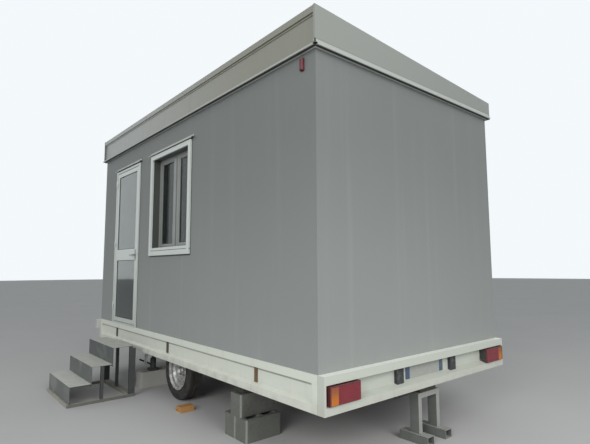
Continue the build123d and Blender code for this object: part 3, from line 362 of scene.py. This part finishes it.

# Walls
# Foam-cored panels, a stippled grey skin outside with faint runs and dust, painted paler towards
# the foot as painted light, and a pale liner inside; a dark band painted on the wall round door and window
# frame is a painted shadow gap.

low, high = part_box("rear_wall")
wall_low = low[2]
rear_x, near_y, far_y = high[0], low[1], high[1]
front_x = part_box("front_wall")[0][0]
skin_depth, liner_depth = 0.03, 0.032
dust_height, foot_light_height = 0.35, 2.0
wall_skin, place = start_finish("wall_skin", Specular_IOR_Level=0.45)
x, y, z = place.along(0), place.along(1), place.along(2)
within = ((rear_x - x).rise(skin_depth, liner_depth) * (x - front_x).rise(skin_depth, liner_depth)
          * (y - near_y).rise(skin_depth, liner_depth) * (far_y - y).rise(skin_depth, liner_depth))
cloud = place.noise(0.6, 3.0)
runs = place.stretched(9.0, 9.0, 0.35).noise(1.0, 4.0).rise(0.5, 0.8)
low_dust = 1.0 - z.rise(wall_low, wall_low + dust_height)
# Painted light: the skin is painted paler towards the foot and darker towards the top.
foot_light = 1.0 - z.rise(wall_low, wall_low + foot_light_height)
stipple = place.noise(240.0, 2.0)
waves = place.stretched(1.0, 1.0, 0.5).noise(2.2, 1.0)
weathering_and_painted_light = 0.2 * cloud + 0.12 * runs + 0.15 * low_dust * place.noise(7.0, 4.0) + 0.6 * foot_light
outer = weathering_and_painted_light.blend((0.138, 0.151, 0.145, 1.0), (0.300, 0.315, 0.304, 1.0))
door_side = 1.0 - (y - near_y).rise(skin_depth, liner_depth)
for frame_name in ("door_frame", "window_frame"):
    low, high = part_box(frame_name)
    middle, half = middle_and_half(low, high, 0)
    past_side = abs(x - middle) - half
    middle, half = middle_and_half(low, high, 2)
    past_end = abs(z - middle) - half
    # Painted shadow gap: a dark band on the wall round each frame.
    frame_shadow = door_side * (1.0 - past_side.larger(past_end).rise(0.010, 0.020))
    outer = (0.9 * frame_shadow).blend(outer, (0.035, 0.037, 0.034, 1.0))
lay(wall_skin, colour=within.blend(outer, (0.52, 0.53, 0.51, 1.0)), rough=0.52 + 0.2 * weathering_and_painted_light,
    height=stipple * 0.3 + waves * 0.9, relief=0.0007)
dress(wall_skin, "rear_wall", "front_wall", "far_wall", "door_wall_front_bay", "door_wall_middle_bay",
      "door_wall_rear_bay", "door_wall_infills")

# Roof
# Ribbed pale sheet that drains to the far side and is dustier toward that
# edge; each rib is held by a row of domed screws.

roof_sheet = sprayed_steel("roof_sheet", (0.50, 0.52, 0.49), (0.27, 0.25, 0.21), (3.0, 3.16), 0.0, 0.45)
dress(roof_sheet, "roof_panel")
low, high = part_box("roof_panel")
panel_thickness, screw_margin = 0.085, 0.12
rib_pitch, rib_count, screws_a_rib = 0.33, 13, 6
fall = (high[2] - low[2] - panel_thickness) / (high[1] - low[1])
roof_middle = (low[0] + high[0]) / 2
roof_spots = []
for rib in range(rib_count):
    for step in range(screws_a_rib):
        screw_y = low[1] + screw_margin + step * (high[1] - low[1] - 2 * screw_margin) / (screws_a_rib - 1)
        roof_spots.append((roof_middle + (rib - (rib_count - 1) / 2) * rib_pitch, screw_y,
                           high[2] - fall * (screw_y - low[1])))


def domed_heads(name, spots, radius, height, facing, finish, body, sides):
    """Domed heads: one is modelled upright and copied to each spot; facing turns it."""
    bpy.ops.object.select_all(action="DESELECT")
    bpy.ops.mesh.primitive_cylinder_add(vertices=sides, radius=radius, depth=height,
                                        location=(0, 0, height / 2))
    head = bpy.context.object
    bpy.ops.object.transform_apply(location=True)
    bpy.ops.object.mode_set(mode="EDIT")
    bpy.ops.mesh.select_mode(type="FACE")
    bpy.ops.mesh.select_all(action="DESELECT")
    bpy.ops.object.mode_set(mode="OBJECT")
    for face in head.data.polygons:
        face.select = face.normal.z > 0.9
    bpy.ops.object.mode_set(mode="EDIT")
    bpy.ops.mesh.inset(thickness=radius * 0.35, depth=height * 0.5)
    bpy.ops.object.mode_set(mode="OBJECT")
    places = [Matrix.Translation(spot) @ facing for spot in spots]
    finish_piece(copied(head, places, name), finish, body)
    bpy.data.objects.remove(head)


upright = Matrix.Identity(4)
domed_heads("roof_screws", roof_spots, 0.009, 0.006, upright, nut_zinc, "cabin", 8)

# Fascia
# Folded and sprayed sheets that hide the roof's edge, with screws along the top
# band. Each sheet darkens along its length as painted light, its lip carries a painted highlight, painted
# shadow lines run in the crease and under the lip, its underside is painted pale as painted light, and
# each corner's foot is painted dark as painted shade; the drip caps are folded from like sheet, their ends
# painted dark as painted shade.

low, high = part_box("end_fascias")
side_low, side_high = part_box("door_side_fascia")[0][1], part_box("far_side_fascia")[1][1]
spans = ((low[0], high[0]), (side_low, side_high))
soffit = low[2]
lip_rise, lip_reach = 0.046, 0.017


def folded_fascia(name, axis, first, shaded_end):
    """Fascia sheet darkening along an axis as painted light, with a lip painted pale as a painted
    highlight, a painted shadow line in the crease, a painted shadow gap under the lip, a pale underside as
    painted light and dark corners as painted shade.
    """
    finish, place = start_finish(name, Specular_IOR_Level=0.45)
    facing = place.facing().along(2)
    end_gap, side_gap = ((stop - start) / 2 - abs(place.along(way) - (start + stop) / 2)
                         for way, (start, stop) in enumerate(spans))
    edge_gap = end_gap.smaller(side_gap)
    above = place.along(2) - soffit
    near_soffit = 1.0 - above.rise(lip_rise, lip_rise + 0.003)
    downward = 1.0 - facing.rise(-0.9, -0.3)
    # Painted shadow gap: a dark band across the underside, between its outer edge and the wall.
    gap_shadow = downward * (1.0 - edge_gap.rise(0.033, 0.037)) * edge_gap.rise(0.008, 0.011) * near_soffit
    # Painted shade: each corner's foot is painted dark as an open slit.
    corner_shade = 1.0 - end_gap.larger(side_gap).rise(lip_reach + 0.006, lip_reach + 0.009)
    corner_shade = corner_shade * near_soffit
    # Painted highlight: the lip is painted paler than the sheet.
    lit_lip = near_soffit * (1.0 - edge_gap.rise(lip_reach + 0.003, lip_reach + 0.005))
    # Painted shadow line in the crease above the lip.
    crease_shadow = (1.0 - abs(above - lip_rise).rise(0.002, 0.005)) * (1.0 - edge_gap.rise(0.02, 0.022))
    cloud = place.noise(1.1, 3.0)
    mottle = place.noise(9.0, 4.0)
    runs = place.stretched(14.0, 14.0, 0.6).noise(1.0, 3.0).rise(0.52, 0.78)
    start, stop = spans[axis]
    # Painted light: the tone darkens from one end of the sheet to the other.
    clean = ((place.along(axis) - start) / (stop - start)).rise(0.1, 0.9).blend(first, shaded_end)
    dust = (0.3 * mottle + 0.3 * runs) * (0.4 + 0.6 * cloud) + 0.25 * facing.rise(0.2, 0.9)
    colour = dust.blend(clean, (0.25, 0.243, 0.20, 1.0))
    colour = lit_lip.blend(colour, (0.37, 0.39, 0.365, 1.0))
    # Painted light: the down-facing faces near the foot are painted pale.
    colour = (downward * near_soffit).blend(colour, (0.50, 0.52, 0.495, 1.0))
    colour = (crease_shadow * 0.6).blend(colour, (0.12, 0.125, 0.115, 1.0))
    colour = gap_shadow.larger(corner_shade).blend(colour, (0.035, 0.038, 0.034, 1.0))
    lay(finish, colour=colour, rough=0.36 + 0.3 * dust + 0.2 * gap_shadow,
        height=place.noise(300.0, 1.0) * 0.3 + mottle * 0.5 - crease_shadow, relief=0.0005)
    return finish


# Painted light: the side and end sheets take different tones of one paint.
dress(folded_fascia("fascia_side_paint", 0, (0.35, 0.367, 0.35, 1.0), (0.21, 0.212, 0.175, 1.0)),
      "door_side_fascia", "far_side_fascia")
dress(folded_fascia("fascia_end_paint", 1, (0.232, 0.247, 0.230, 1.0), (0.205, 0.218, 0.203, 1.0)),
      "end_fascias")

cap_paint, place = start_finish("cap_paint", Specular_IOR_Level=0.45)
# Painted shade: the caps' end faces are painted dark.
end_shade = abs(place.facing().along(0)).rise(0.7, 0.9)
mottle = place.noise(9.0, 4.0)
colour = mottle.blend((0.46, 0.485, 0.46, 1.0), (0.33, 0.34, 0.31, 1.0))
lay(cap_paint, colour=end_shade.blend(colour, (0.03, 0.032, 0.03, 1.0)), rough=0.38 + 0.2 * mottle,
    height=place.noise(300.0, 1.0) * 0.3 + mottle * 0.5, relief=0.0005)
dress(cap_paint, "drip_caps")

low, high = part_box("door_side_fascia")
band_screws, band_drop = 10, 0.025
band_pitch = (high[0] - low[0] - 2 * screw_margin) / (band_screws - 1)
band_spots = [(low[0] + screw_margin + step * band_pitch, low[1] + lip_reach, high[2] - band_drop)
              for step in range(band_screws)]
domed_heads("fascia_screws", band_spots, 0.005, 0.003, to_side, nut_zinc, "cabin", 8)

# Door
# White plastic profile with a steel core: a casing on the wall, and a leaf
# with a deep middle rail, glazed above and below it.

white_profile, place = start_finish("white_profile", Specular_IOR_Level=0.5, Coat_Roughness=0.2)
film = place.noise(3.0, 4.0)
handling = place.noise(28.0, 4.0).rise(0.55, 0.8)
low_dust = 1.0 - place.along(2).rise(0.7, 1.15)
soil = 0.35 * low_dust * film + 0.18 * handling
lay(white_profile, colour=soil.blend((0.54, 0.585, 0.55, 1.0), (0.33, 0.32, 0.28, 1.0)),
    rough=0.3 + 0.35 * soil, height=film * 0.5 + place.noise(380.0, 1.0) * 0.12, relief=0.0004)
dress(white_profile, "door_frame", "door_leaf")
hinge_paint = sprayed_steel("hinge_paint", (0.56, 0.59, 0.56), (0.3, 0.29, 0.25), (0.7, 0.9), 0.4, 0.3)
dress(hinge_paint, "hinge_frame_halves", "hinge_leaf_halves")

for name, index, node in (("coated_glass", 2.0, "door_glass"), ("window_pane", 1.3, "window_glass")):
    pane_glass, place = start_finish(name, IOR=index, Transmission_Weight=1.0)
    smear = place.noise(5.0, 4.0)
    lay(pane_glass, colour=smear.blend((0.46, 0.54, 0.50, 1.0), (0.36, 0.43, 0.40, 1.0)),
        rough=0.02 + 0.04 * smear)
    dress(pane_glass, node)

gasket_rubber, place = start_finish("gasket_rubber", Specular_IOR_Level=0.3)
bloom = place.noise(60.0, 3.0)
lay(gasket_rubber, colour=bloom.blend((0.02, 0.021, 0.022, 1.0), (0.07, 0.07, 0.066, 1.0)),
    rough=0.6 + 0.2 * bloom)
gasket_width, gasket_thickness, gasket_proud = 0.006, 0.004, 0.001


def gasket(name, pane_low, pane_high, face_y, body):
    """A glazing gasket: a ring cut from a flat sheet, given its thickness and rounded."""
    bpy.ops.object.select_all(action="DESELECT")
    bpy.ops.mesh.primitive_plane_add(
        size=1.0, rotation=(math.pi / 2, 0, 0),
        location=((pane_low[0] + pane_high[0]) / 2, face_y, (pane_low[2] + pane_high[2]) / 2))
    ring = bpy.context.object
    ring.name = name
    ring.scale = (pane_high[0] - pane_low[0], pane_high[2] - pane_low[2], 1.0)
    bpy.ops.object.transform_apply(location=True, rotation=True, scale=True)
    bpy.ops.object.mode_set(mode="EDIT")
    bpy.ops.mesh.select_mode(type="FACE")
    bpy.ops.mesh.select_all(action="SELECT")
    bpy.ops.mesh.inset(thickness=gasket_width, depth=0.0)
    bpy.ops.mesh.delete(type="FACE")
    bpy.ops.object.mode_set(mode="OBJECT")
    sheet = ring.modifiers.new("thickness", "SOLIDIFY")
    sheet.thickness = gasket_thickness
    sheet.offset = 0.0
    bpy.ops.object.modifier_apply(modifier=sheet.name)
    edge = ring.modifiers.new("edge", "BEVEL")
    edge.width = gasket_thickness * 0.3
    edge.segments = 2
    bpy.ops.object.modifier_apply(modifier=edge.name)
    finish_piece(ring, gasket_rubber, body)


def panes(node):
    """The boxes of a glazing node's separate panes, lowest and leftmost first."""
    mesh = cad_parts[node].data
    corners = {(round(v.co.x, 4), round(v.co.z, 4)) for v in mesh.vertices}
    xs = sorted({c[0] for c in corners})
    zs = sorted({c[1] for c in corners})
    low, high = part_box(node)
    if len(zs) > 2:
        return [((xs[0], low[1], zs[i]), (xs[-1], high[1], zs[i + 1])) for i in range(0, len(zs), 2)]
    return [((xs[i], low[1], zs[0]), (xs[i + 1], high[1], zs[-1])) for i in range(0, len(xs), 2)]


for node, body in (("door_glass", "door"), ("window_glass", "cabin")):
    for number, (low, high) in enumerate(panes(node)):
        gasket(f"{node}_gasket_out_{number}", low, high, low[1] - gasket_proud, body)
        gasket(f"{node}_gasket_in_{number}", low, high, high[1] + gasket_proud, body)

# Door handles and lock
# Lever handles on long plates, of brushed satin aluminium dulled in patches,
# with a lock cylinder below the outer lever.

satin_metal, place = start_finish("satin_metal", Metallic=1.0)
wear = place.noise(70.0, 3.0)
brushing = place.stretched(60.0, 900.0, 900.0).noise(1.0, 2.0)
lay(satin_metal, colour=wear.blend((0.50, 0.50, 0.48, 1.0), (0.33, 0.33, 0.32, 1.0)),
    rough=0.28 + 0.18 * brushing, height=brushing, relief=0.00015)
dress(satin_metal, "door_handle")
low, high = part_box("door_handle")
plate_half, plate_face, lock_height = 0.015, 0.0425, 0.034
lock_spots = [(high[0] - plate_half, low[1] + plate_face, low[2] + lock_height)]
domed_heads("door_lock", lock_spots, 0.009, 0.006, to_side, satin_metal, "door", 24)

# Window
# White casing round a deep lining of dull grey sheet, painted darker as painted shade in the reveal, with
# a painted shadow line over the sill's casing; two sashes of white profile, painted grey as painted shade,
# stand well back in it, meet under a cover strip and have a groove round each pane.

low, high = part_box("window_frame")
casing_width, casing_depth, track_height = 0.05, 0.018, 0.035
sill_joint = low[2] + 0.053
track_top = low[2] + casing_width + track_height
window_profile, place = start_finish("window_profile", Specular_IOR_Level=0.45)
y, z = place.along(1), place.along(2)
film = place.noise(3.0, 4.0)
soil = 0.2 * film + 0.15 * place.noise(28.0, 4.0).rise(0.55, 0.8)
casing = soil.blend((0.56, 0.60, 0.565, 1.0), (0.36, 0.36, 0.32, 1.0))
# Painted shade: the lining is darker than its grey sheet, as in the deep reveal.
shaded_lining = soil.blend((0.060, 0.066, 0.060, 1.0), (0.045, 0.048, 0.044, 1.0))
behind_face = (y - low[1]).rise(casing_depth + 0.002, casing_depth + 0.003)
above_track = z.rise(track_top + 0.001, track_top + 0.002)
# Painted shadow line in the groove between the sill casing and the track.
joint = 1.0 - abs(z - sill_joint).rise(0.003, 0.005)
sill_groove_shadow = (y - low[1]).rise(0.004, 0.006) * joint
colour = (behind_face * above_track).blend(casing, shaded_lining)
lay(window_profile, colour=sill_groove_shadow.blend(colour, (0.04, 0.042, 0.04, 1.0)),
    rough=0.32 + 0.3 * soil, height=film * 0.5 + place.noise(380.0, 1.0) * 0.12, relief=0.0004)
dress(window_profile, "window_frame")

low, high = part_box("window_sashes")
sash_middle, sash_half = middle_and_half(low, high, 0)
groove_inset = 0.052
sash_grey, place = start_finish("sash_grey", Specular_IOR_Level=0.45)
x, z = place.along(0), place.along(2)
from_joint = abs(x - sash_middle)
edge_gap = from_joint.smaller(sash_half - from_joint).smaller((z - low[2]).smaller(high[2] - z))
groove = 1.0 - abs(edge_gap - groove_inset).rise(0.0015, 0.0035)
film = place.noise(4.0, 4.0)
# Painted shade: the white sash profile is painted grey.
colour = film.blend((0.275, 0.292, 0.275, 1.0), (0.210, 0.224, 0.210, 1.0))
lay(sash_grey, colour=(groove * 0.75).blend(colour, (0.03, 0.032, 0.03, 1.0)), rough=0.35 + 0.15 * film,
    height=film * 0.3 - groove, relief=0.0008)
dress(sash_grey, "window_sashes")

# Rear lamps
# Black moulded bodies with a long ribbed lens: amber at the outer end for the
# indicator, red for the rest, and a dark red rim that wraps round end and top.

lamp_black, place = start_finish("lamp_black", Specular_IOR_Level=0.4)
dull = place.noise(40.0, 3.0)
low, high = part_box("rear_lamp_bodies")
lamp_middle, lamp_half = middle_and_half(low, high, 1)
wrap = abs(place.along(1) - lamp_middle).rise(lamp_half - 0.012, lamp_half - 0.010)
wrap = wrap.larger(place.along(2).rise(high[2] - 0.008, high[2] - 0.006))
wrap = wrap * place.along(0).rise(high[0] - 0.055, high[0] - 0.05)
housing = dull.blend((0.02, 0.02, 0.02, 1.0), (0.06, 0.055, 0.05, 1.0))
lay(lamp_black, colour=wrap.blend(housing, (0.085, 0.017, 0.02, 1.0)), rough=0.5 + 0.2 * dull,
    height=place.noise(300.0, 1.0), relief=0.0003)
dress(lamp_black, "rear_lamp_bodies")

low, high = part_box("rear_lamp_lenses")
lamp_middle, lamp_half = middle_and_half(low, high, 1)
amber_length = 0.076
rib_pitch, square_pitch = 520.0, 260.0
lamp_lens, place = start_finish("lamp_lens", Specular_IOR_Level=0.6)
across, up = abs(place.along(1) - lamp_middle), place.along(2)
from_end = lamp_half - across
amber = 1.0 - from_end.rise(amber_length, amber_length + 0.003)
ribs = abs((across * rib_pitch).sine())
squares = abs((up * square_pitch).sine())
spread = place.noise(12.0, 2.0)
red = spread.blend((0.16, 0.011, 0.020, 1.0), (0.23, 0.018, 0.030, 1.0))
orange = up.rise(low[2] + 0.02, high[2] - 0.01).blend((0.52, 0.15, 0.010, 1.0), (0.28, 0.075, 0.025, 1.0))
edge = from_end.rise(0.010, 0.013) * (high[2] - up).rise(0.006, 0.009) * (up - low[2]).rise(0.002, 0.004)
colour = edge.blend((0.10, 0.018, 0.02, 1.0), amber.blend(red, orange))
lay(lamp_lens, colour=colour, rough=0.14 + 0.1 * spread, height=ribs * 0.7 + squares * 0.5, relief=0.0012)
dress(lamp_lens, "rear_lamp_lenses")

# Reflectors and marker lamps
# Amber reflex strips on the side beams, all but the rearmost blackened by
# dirt, small red markers high at the rear corners and pale ones at the front.

reflex_amber, place = start_finish("reflex_amber", Specular_IOR_Level=0.6)
facets = place.cells(260.0)
fade = place.noise(30.0, 3.0)
low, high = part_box("side_reflectors")
blackened = 1.0 - place.along(0).rise(high[0] - 0.4, high[0] - 0.3)
amber = (facets * 0.8 + fade * 0.5).blend((0.24, 0.12, 0.045, 1.0), (0.11, 0.06, 0.025, 1.0))
soot = fade.blend((0.075, 0.07, 0.05, 1.0), (0.045, 0.042, 0.032, 1.0))
lay(reflex_amber, colour=blackened.blend(amber, soot), rough=0.2 + 0.2 * fade + 0.3 * blackened,
    height=facets, relief=0.0007)
dress(reflex_amber, "side_reflectors")
for name, specular, scale, pale, deep, rough, node in (
        ("marker_red", 0.6, 200.0, (0.13, 0.010, 0.020, 1.0), (0.06, 0.006, 0.010, 1.0), 0.45,
         "top_marker_lamps"),
        ("marker_clear", 0.55, 180.0, (0.62, 0.64, 0.60, 1.0), (0.42, 0.43, 0.40, 1.0), 0.2,
         "front_marker_lamps")):
    marker_lens, place = start_finish(name, Specular_IOR_Level=specular)
    facets = place.cells(scale)
    lay(marker_lens, colour=facets.blend(pale, deep), rough=rough + 0.15 * facets, height=facets,
        relief=0.0006)
    dress(marker_lens, node)

# Number plate and buffers
# A bare white plate with plain blue end bands, and two rubber blocks that
# take the first knock.

low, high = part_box("number_plate")
plate_middle, plate_half = middle_and_half(low, high, 1)
band_width = 0.053
plate_film, place = start_finish("plate_film", Specular_IOR_Level=0.5)
ends = abs(place.along(1) - plate_middle).rise(plate_half - band_width - 0.003, plate_half - band_width)
dirt = place.noise(14.0, 4.0).rise(0.4, 0.8)
film = ends.blend((0.35, 0.36, 0.335, 1.0), (0.055, 0.09, 0.155, 1.0))
lay(plate_film, colour=(dirt * 0.3).blend(film, (0.33, 0.31, 0.27, 1.0)), rough=0.25 + 0.3 * dirt,
    height=place.cells(600.0), relief=0.0001)
dress(plate_film, "number_plate")
buffer_rubber, place = start_finish("buffer_rubber", Specular_IOR_Level=0.35)
chalk = place.noise(25.0, 4.0).rise(0.4, 0.8)
lay(buffer_rubber, colour=chalk.blend((0.035, 0.038, 0.04, 1.0), (0.10, 0.10, 0.095, 1.0)),
    rough=0.6 + 0.2 * chalk, height=place.noise(220.0, 3.0), relief=0.0006)
dress(buffer_rubber, "rubber_buffers")

# Concrete blocks
# Cast hollow blocks, grey and coarse, pitted where air was trapped, stained
# by the ground and rubbed pale at their rounded corners; the front pair is painted much paler as painted
# light.

block_concrete, place = start_finish("block_concrete", Specular_IOR_Level=0.25)
coarse = place.noise(42.0, 6.0, 0.65)
pits = place.cells(95.0).rise(0.05, 0.22)
stain = place.noise(5.0, 4.0)
facing = place.facing()
corner = abs(facing.along(0)).smaller(abs(facing.along(1))).rise(0.25, 0.55)
body_tone = (0.55 * coarse + 0.45 * stain).blend((0.075, 0.079, 0.069, 1.0), (0.215, 0.22, 0.198, 1.0))
# Painted light: the front blocks are painted much paler.
front_painted_light = 1.0 - place.along(0).rise(0.2, 0.5)
body_tone = front_painted_light.blend(body_tone, coarse.blend((0.42, 0.41, 0.38, 1.0), (0.55, 0.54, 0.50, 1.0)))
lay(block_concrete, colour=(corner * (0.2 + 0.6 * coarse)).blend(body_tone, (0.36, 0.365, 0.335, 1.0)),
    rough=0.85 + 0.1 * coarse, height=coarse * 0.8 + pits * 0.5, relief=0.004)
dress(block_concrete, "ground_blocks", "upper_blocks")

# Timber bearers and chock
# Rough sawn bearers between the blocks and the chassis, painted dark grey as painted shade, and a short
# wedge of orange-brown timber by the near wheel.


def sawn_timber(name, pale, dark, lengths):
    """Sawn timber: rings stretched along the grain, saw marks and a few cracks."""
    finish, place = start_finish(name, Specular_IOR_Level=0.25)
    grain = place.stretched(*lengths).noise(1.0, 5.0, 0.6)
    rings = abs((grain * 26.0).sine())
    crack = place.stretched(*[2.0 * length for length in lengths]).noise(1.0, 4.0).rise(0.68, 0.74)
    colour = (rings * 0.55 + grain * 0.4).blend((*pale, 1.0), (*dark, 1.0))
    lay(finish, colour=crack.blend(colour, (0.03, 0.022, 0.016, 1.0)), rough=0.75 + 0.15 * grain,
        height=rings * 0.4 - crack, relief=0.0015)
    return finish


# Painted shade: the bearers are painted dark grey.
dress(sawn_timber("bearer_timber", (0.095, 0.09, 0.078), (0.05, 0.047, 0.041), (45.0, 3.0, 45.0)),
      "timber_shims")
dress(sawn_timber("chock_timber", (0.56, 0.31, 0.11), (0.33, 0.16, 0.058), (4.0, 50.0, 50.0)),
      "wheel_chock")

# Jacks
# Small bottle jacks under the front bearers: dark painted bodies and handles,
# with a pale rod bent to a loop round each handle.

jack_paint = sprayed_steel("jack_paint", (0.035, 0.037, 0.04), (0.11, 0.10, 0.085), (0.15, 0.4), 0.8, 0.45)
dress(jack_paint, "front_jacks")
low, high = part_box("front_jacks")
loop_radius, rod_radius = 0.025, 0.007
loop_stretch, loop_lean = 0.068, 0.015
handle_inset, loop_inset, loop_height = 0.055, 0.115, 0.121
bpy.ops.object.select_all(action="DESELECT")
bpy.ops.mesh.primitive_torus_add(major_segments=32, minor_segments=10, major_radius=loop_radius,
                                 minor_radius=rod_radius, rotation=(math.pi / 2, 0, 0))
loop = bpy.context.object
bpy.ops.object.transform_apply(rotation=True)
for vertex in loop.data.vertices:
    if vertex.co.z > 0.001:
        vertex.co.z += loop_stretch
        vertex.co.x += loop_lean
places = [Matrix.Translation((low[0] + loop_inset, jack_y, low[2] + loop_height))
          for jack_y in (low[1] + handle_inset, high[1] - handle_inset)]
finish_piece(copied(loop, places, "jack_handle_loops"), hinge_paint, "cabin")
bpy.data.objects.remove(loop)

# Rear trestle
# Welded box tube: two open-ended feet, two posts and a head bar, brushed grey; the upward
# faces are paler by dust and by painted light, the rearward faces paler as painted light.

trestle_paint, place = start_finish("trestle_paint", Specular_IOR_Level=0.4)
facing = place.facing()
# Painted light: up-facing faces, dusty as well, and rear-facing faces are painted pale.
lit_and_dusty_faces = facing.along(2).larger(facing.along(0)).rise(0.4, 0.9)
mottle = place.noise(16.0, 5.0)
rust = place.noise(38.0, 5.0).rise(0.62, 0.7) * (1.0 - place.along(2).rise(0.02, 0.2))
# This pale mix is mostly painted light, with some dust.
dust = 0.75 * lit_and_dusty_faces + 0.25 * mottle
colour = dust.blend((0.112, 0.121, 0.109, 1.0), (0.33, 0.34, 0.31, 1.0))
lay(trestle_paint, colour=(rust * 0.8).blend(colour, (0.13, 0.07, 0.04, 1.0)), rough=0.5 + 0.3 * dust,
    height=mottle * 0.6 - rust * 0.5, relief=0.001)
dress(trestle_paint, "rear_trestle")

# Steps
# Folded sheet treads with deep skirts over a welded base ring and posts; the
# treads and the ring are worn pale, the skirts and the posts stay dark, and the faces inside the skirts
# are painted near black as painted shade.

low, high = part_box("step_treads")
step_paint, place = start_finish("step_paint", Specular_IOR_Level=0.45)
facing = place.facing()
climb = place.along(2).rise(low[2] + 0.1, high[2])
flat = facing.along(2).rise(0.5, 0.9)
# Painted shade: faces inside the skirts are painted near black.
inner_face_shade = facing.along(1).rise(0.5, 0.9)
mottle = place.noise(11.0, 5.0)
scratch = place.stretched(3.0, 90.0, 3.0).noise(1.0, 3.0).rise(0.55, 0.7)
dust = flat * (0.65 + 0.35 * mottle) + 0.12 * mottle
skirt = climb.blend((0.085, 0.094, 0.089, 1.0), (0.038, 0.047, 0.050, 1.0))
tread = climb.blend((0.55, 0.56, 0.51, 1.0), (0.47, 0.475, 0.42, 1.0))
colour = (scratch * 0.3).blend(dust.blend(skirt, tread), (0.36, 0.36, 0.33, 1.0))
lay(step_paint, colour=inner_face_shade.blend(colour, (0.02, 0.021, 0.02, 1.0)), rough=0.42 + 0.35 * dust,
    height=mottle * 0.5 + place.noise(420.0, 1.0) * 0.3, relief=0.0007)
dress(step_paint, "step_treads")

base_top = 0.031
frame_paint, place = start_finish("frame_paint", Specular_IOR_Level=0.4)
facing = place.facing()
flat = facing.along(2).rise(0.5, 0.9)
mottle = place.noise(14.0, 5.0)
chip = place.noise(40.0, 5.0).rise(0.7, 0.74)
on_ring = 1.0 - place.along(2).rise(base_top, base_top + 0.003)
trodden = on_ring * (0.28 + 0.6 * (1.0 - facing.along(1).rise(-0.9, -0.4)))
worn = (flat * (0.4 + 0.6 * mottle) + 0.1 * mottle).larger(trodden * (0.7 + 0.3 * mottle))
colour = worn.blend((0.036, 0.041, 0.041, 1.0), (0.42, 0.405, 0.345, 1.0))
lay(frame_paint, colour=(chip * 0.7).blend(colour, (0.11, 0.06, 0.035, 1.0)), rough=0.5 + 0.3 * worn,
    height=mottle * 0.5 - chip * 0.5, relief=0.0007)
dress(frame_paint, "step_side_frames")

# Studio
# A plain pale floor, an even pale surround and two large soft lamps.

bpy.ops.object.select_all(action="DESELECT")
bpy.ops.mesh.primitive_circle_add(vertices=96, radius=60.0, fill_type="NGON", location=(0, 0, -0.001))
ground = bpy.context.object
ground.name = "studio_floor"
bpy.ops.object.transform_apply(location=True)
ground_tone, place = start_finish("ground_tone", Specular_IOR_Level=0.2)
lay(ground_tone, colour=place.noise(0.7, 4.0).blend((0.48, 0.48, 0.47, 1.0), (0.53, 0.53, 0.52, 1.0)),
    rough=0.85 + 0.1 * place.noise(3.0))
ground.data.materials.append(ground_tone)

shown_level, lighting_level = 0.97, 0.46
world = bpy.data.worlds.new("surround")
bpy.context.scene.world = world
world.use_nodes = True
sky = Field(world.node_tree)
seen, mirrored, through = (sky.node("ShaderNodeLightPath", {}, {}, ray)
                           for ray in ("Is Camera Ray", "Is Glossy Ray", "Is Transmission Ray"))
level = seen.larger(mirrored).larger(through) * (shown_level - lighting_level) + lighting_level
back = world.node_tree.nodes["Background"]
world.node_tree.links.new(level.socket, back.inputs["Strength"])
back.inputs["Color"].default_value = (0.93, 0.97, 1.0, 1.0)

for name, spot, aim, size, power in (
        ("key_lamp", (9.6, -1.0, 4.8), (2.5, 0.0, 1.0), 5.0, 338.0),
        ("side_lamp", (6.3, -9.0, 4.8), (1.2, 0.0, 1.0), 6.0, 518.0)):
    light = bpy.data.lights.new(name, "AREA")
    light.shape = "DISK"
    light.size = size
    light.energy = power
    lamp = bpy.data.objects.new(name, light)
    bpy.context.collection.objects.link(lamp)
    away = Vector(spot) - Vector(aim)
    lamp.matrix_world = Matrix.Translation(spot) @ away.to_track_quat("Z", "Y").to_matrix().to_4x4()

# Camera
# Hand-held height, beyond the rear corner on the door side, looking slightly up.

view = bpy.data.cameras.new("view")
view.lens = 27.365
view.sensor_width = 36.0
camera = bpy.data.objects.new("view", view)
bpy.context.collection.objects.link(camera)
stand_point = ((front_x + rear_x) / 2 + 4.425, (near_y + far_y) / 2 - 3.247, 1.394)
heading, tilt, roll = math.radians(49.84), math.radians(90 + 5.87), math.radians(-0.205)
camera.matrix_world = (Matrix.Translation(stand_point) @ Matrix.Rotation(heading, 4, "Z")
                       @ Matrix.Rotation(tilt, 4, "X") @ Matrix.Rotation(roll, 4, "Z"))
bpy.context.scene.camera = camera
bpy.context.scene.view_settings.view_transform = "Standard"
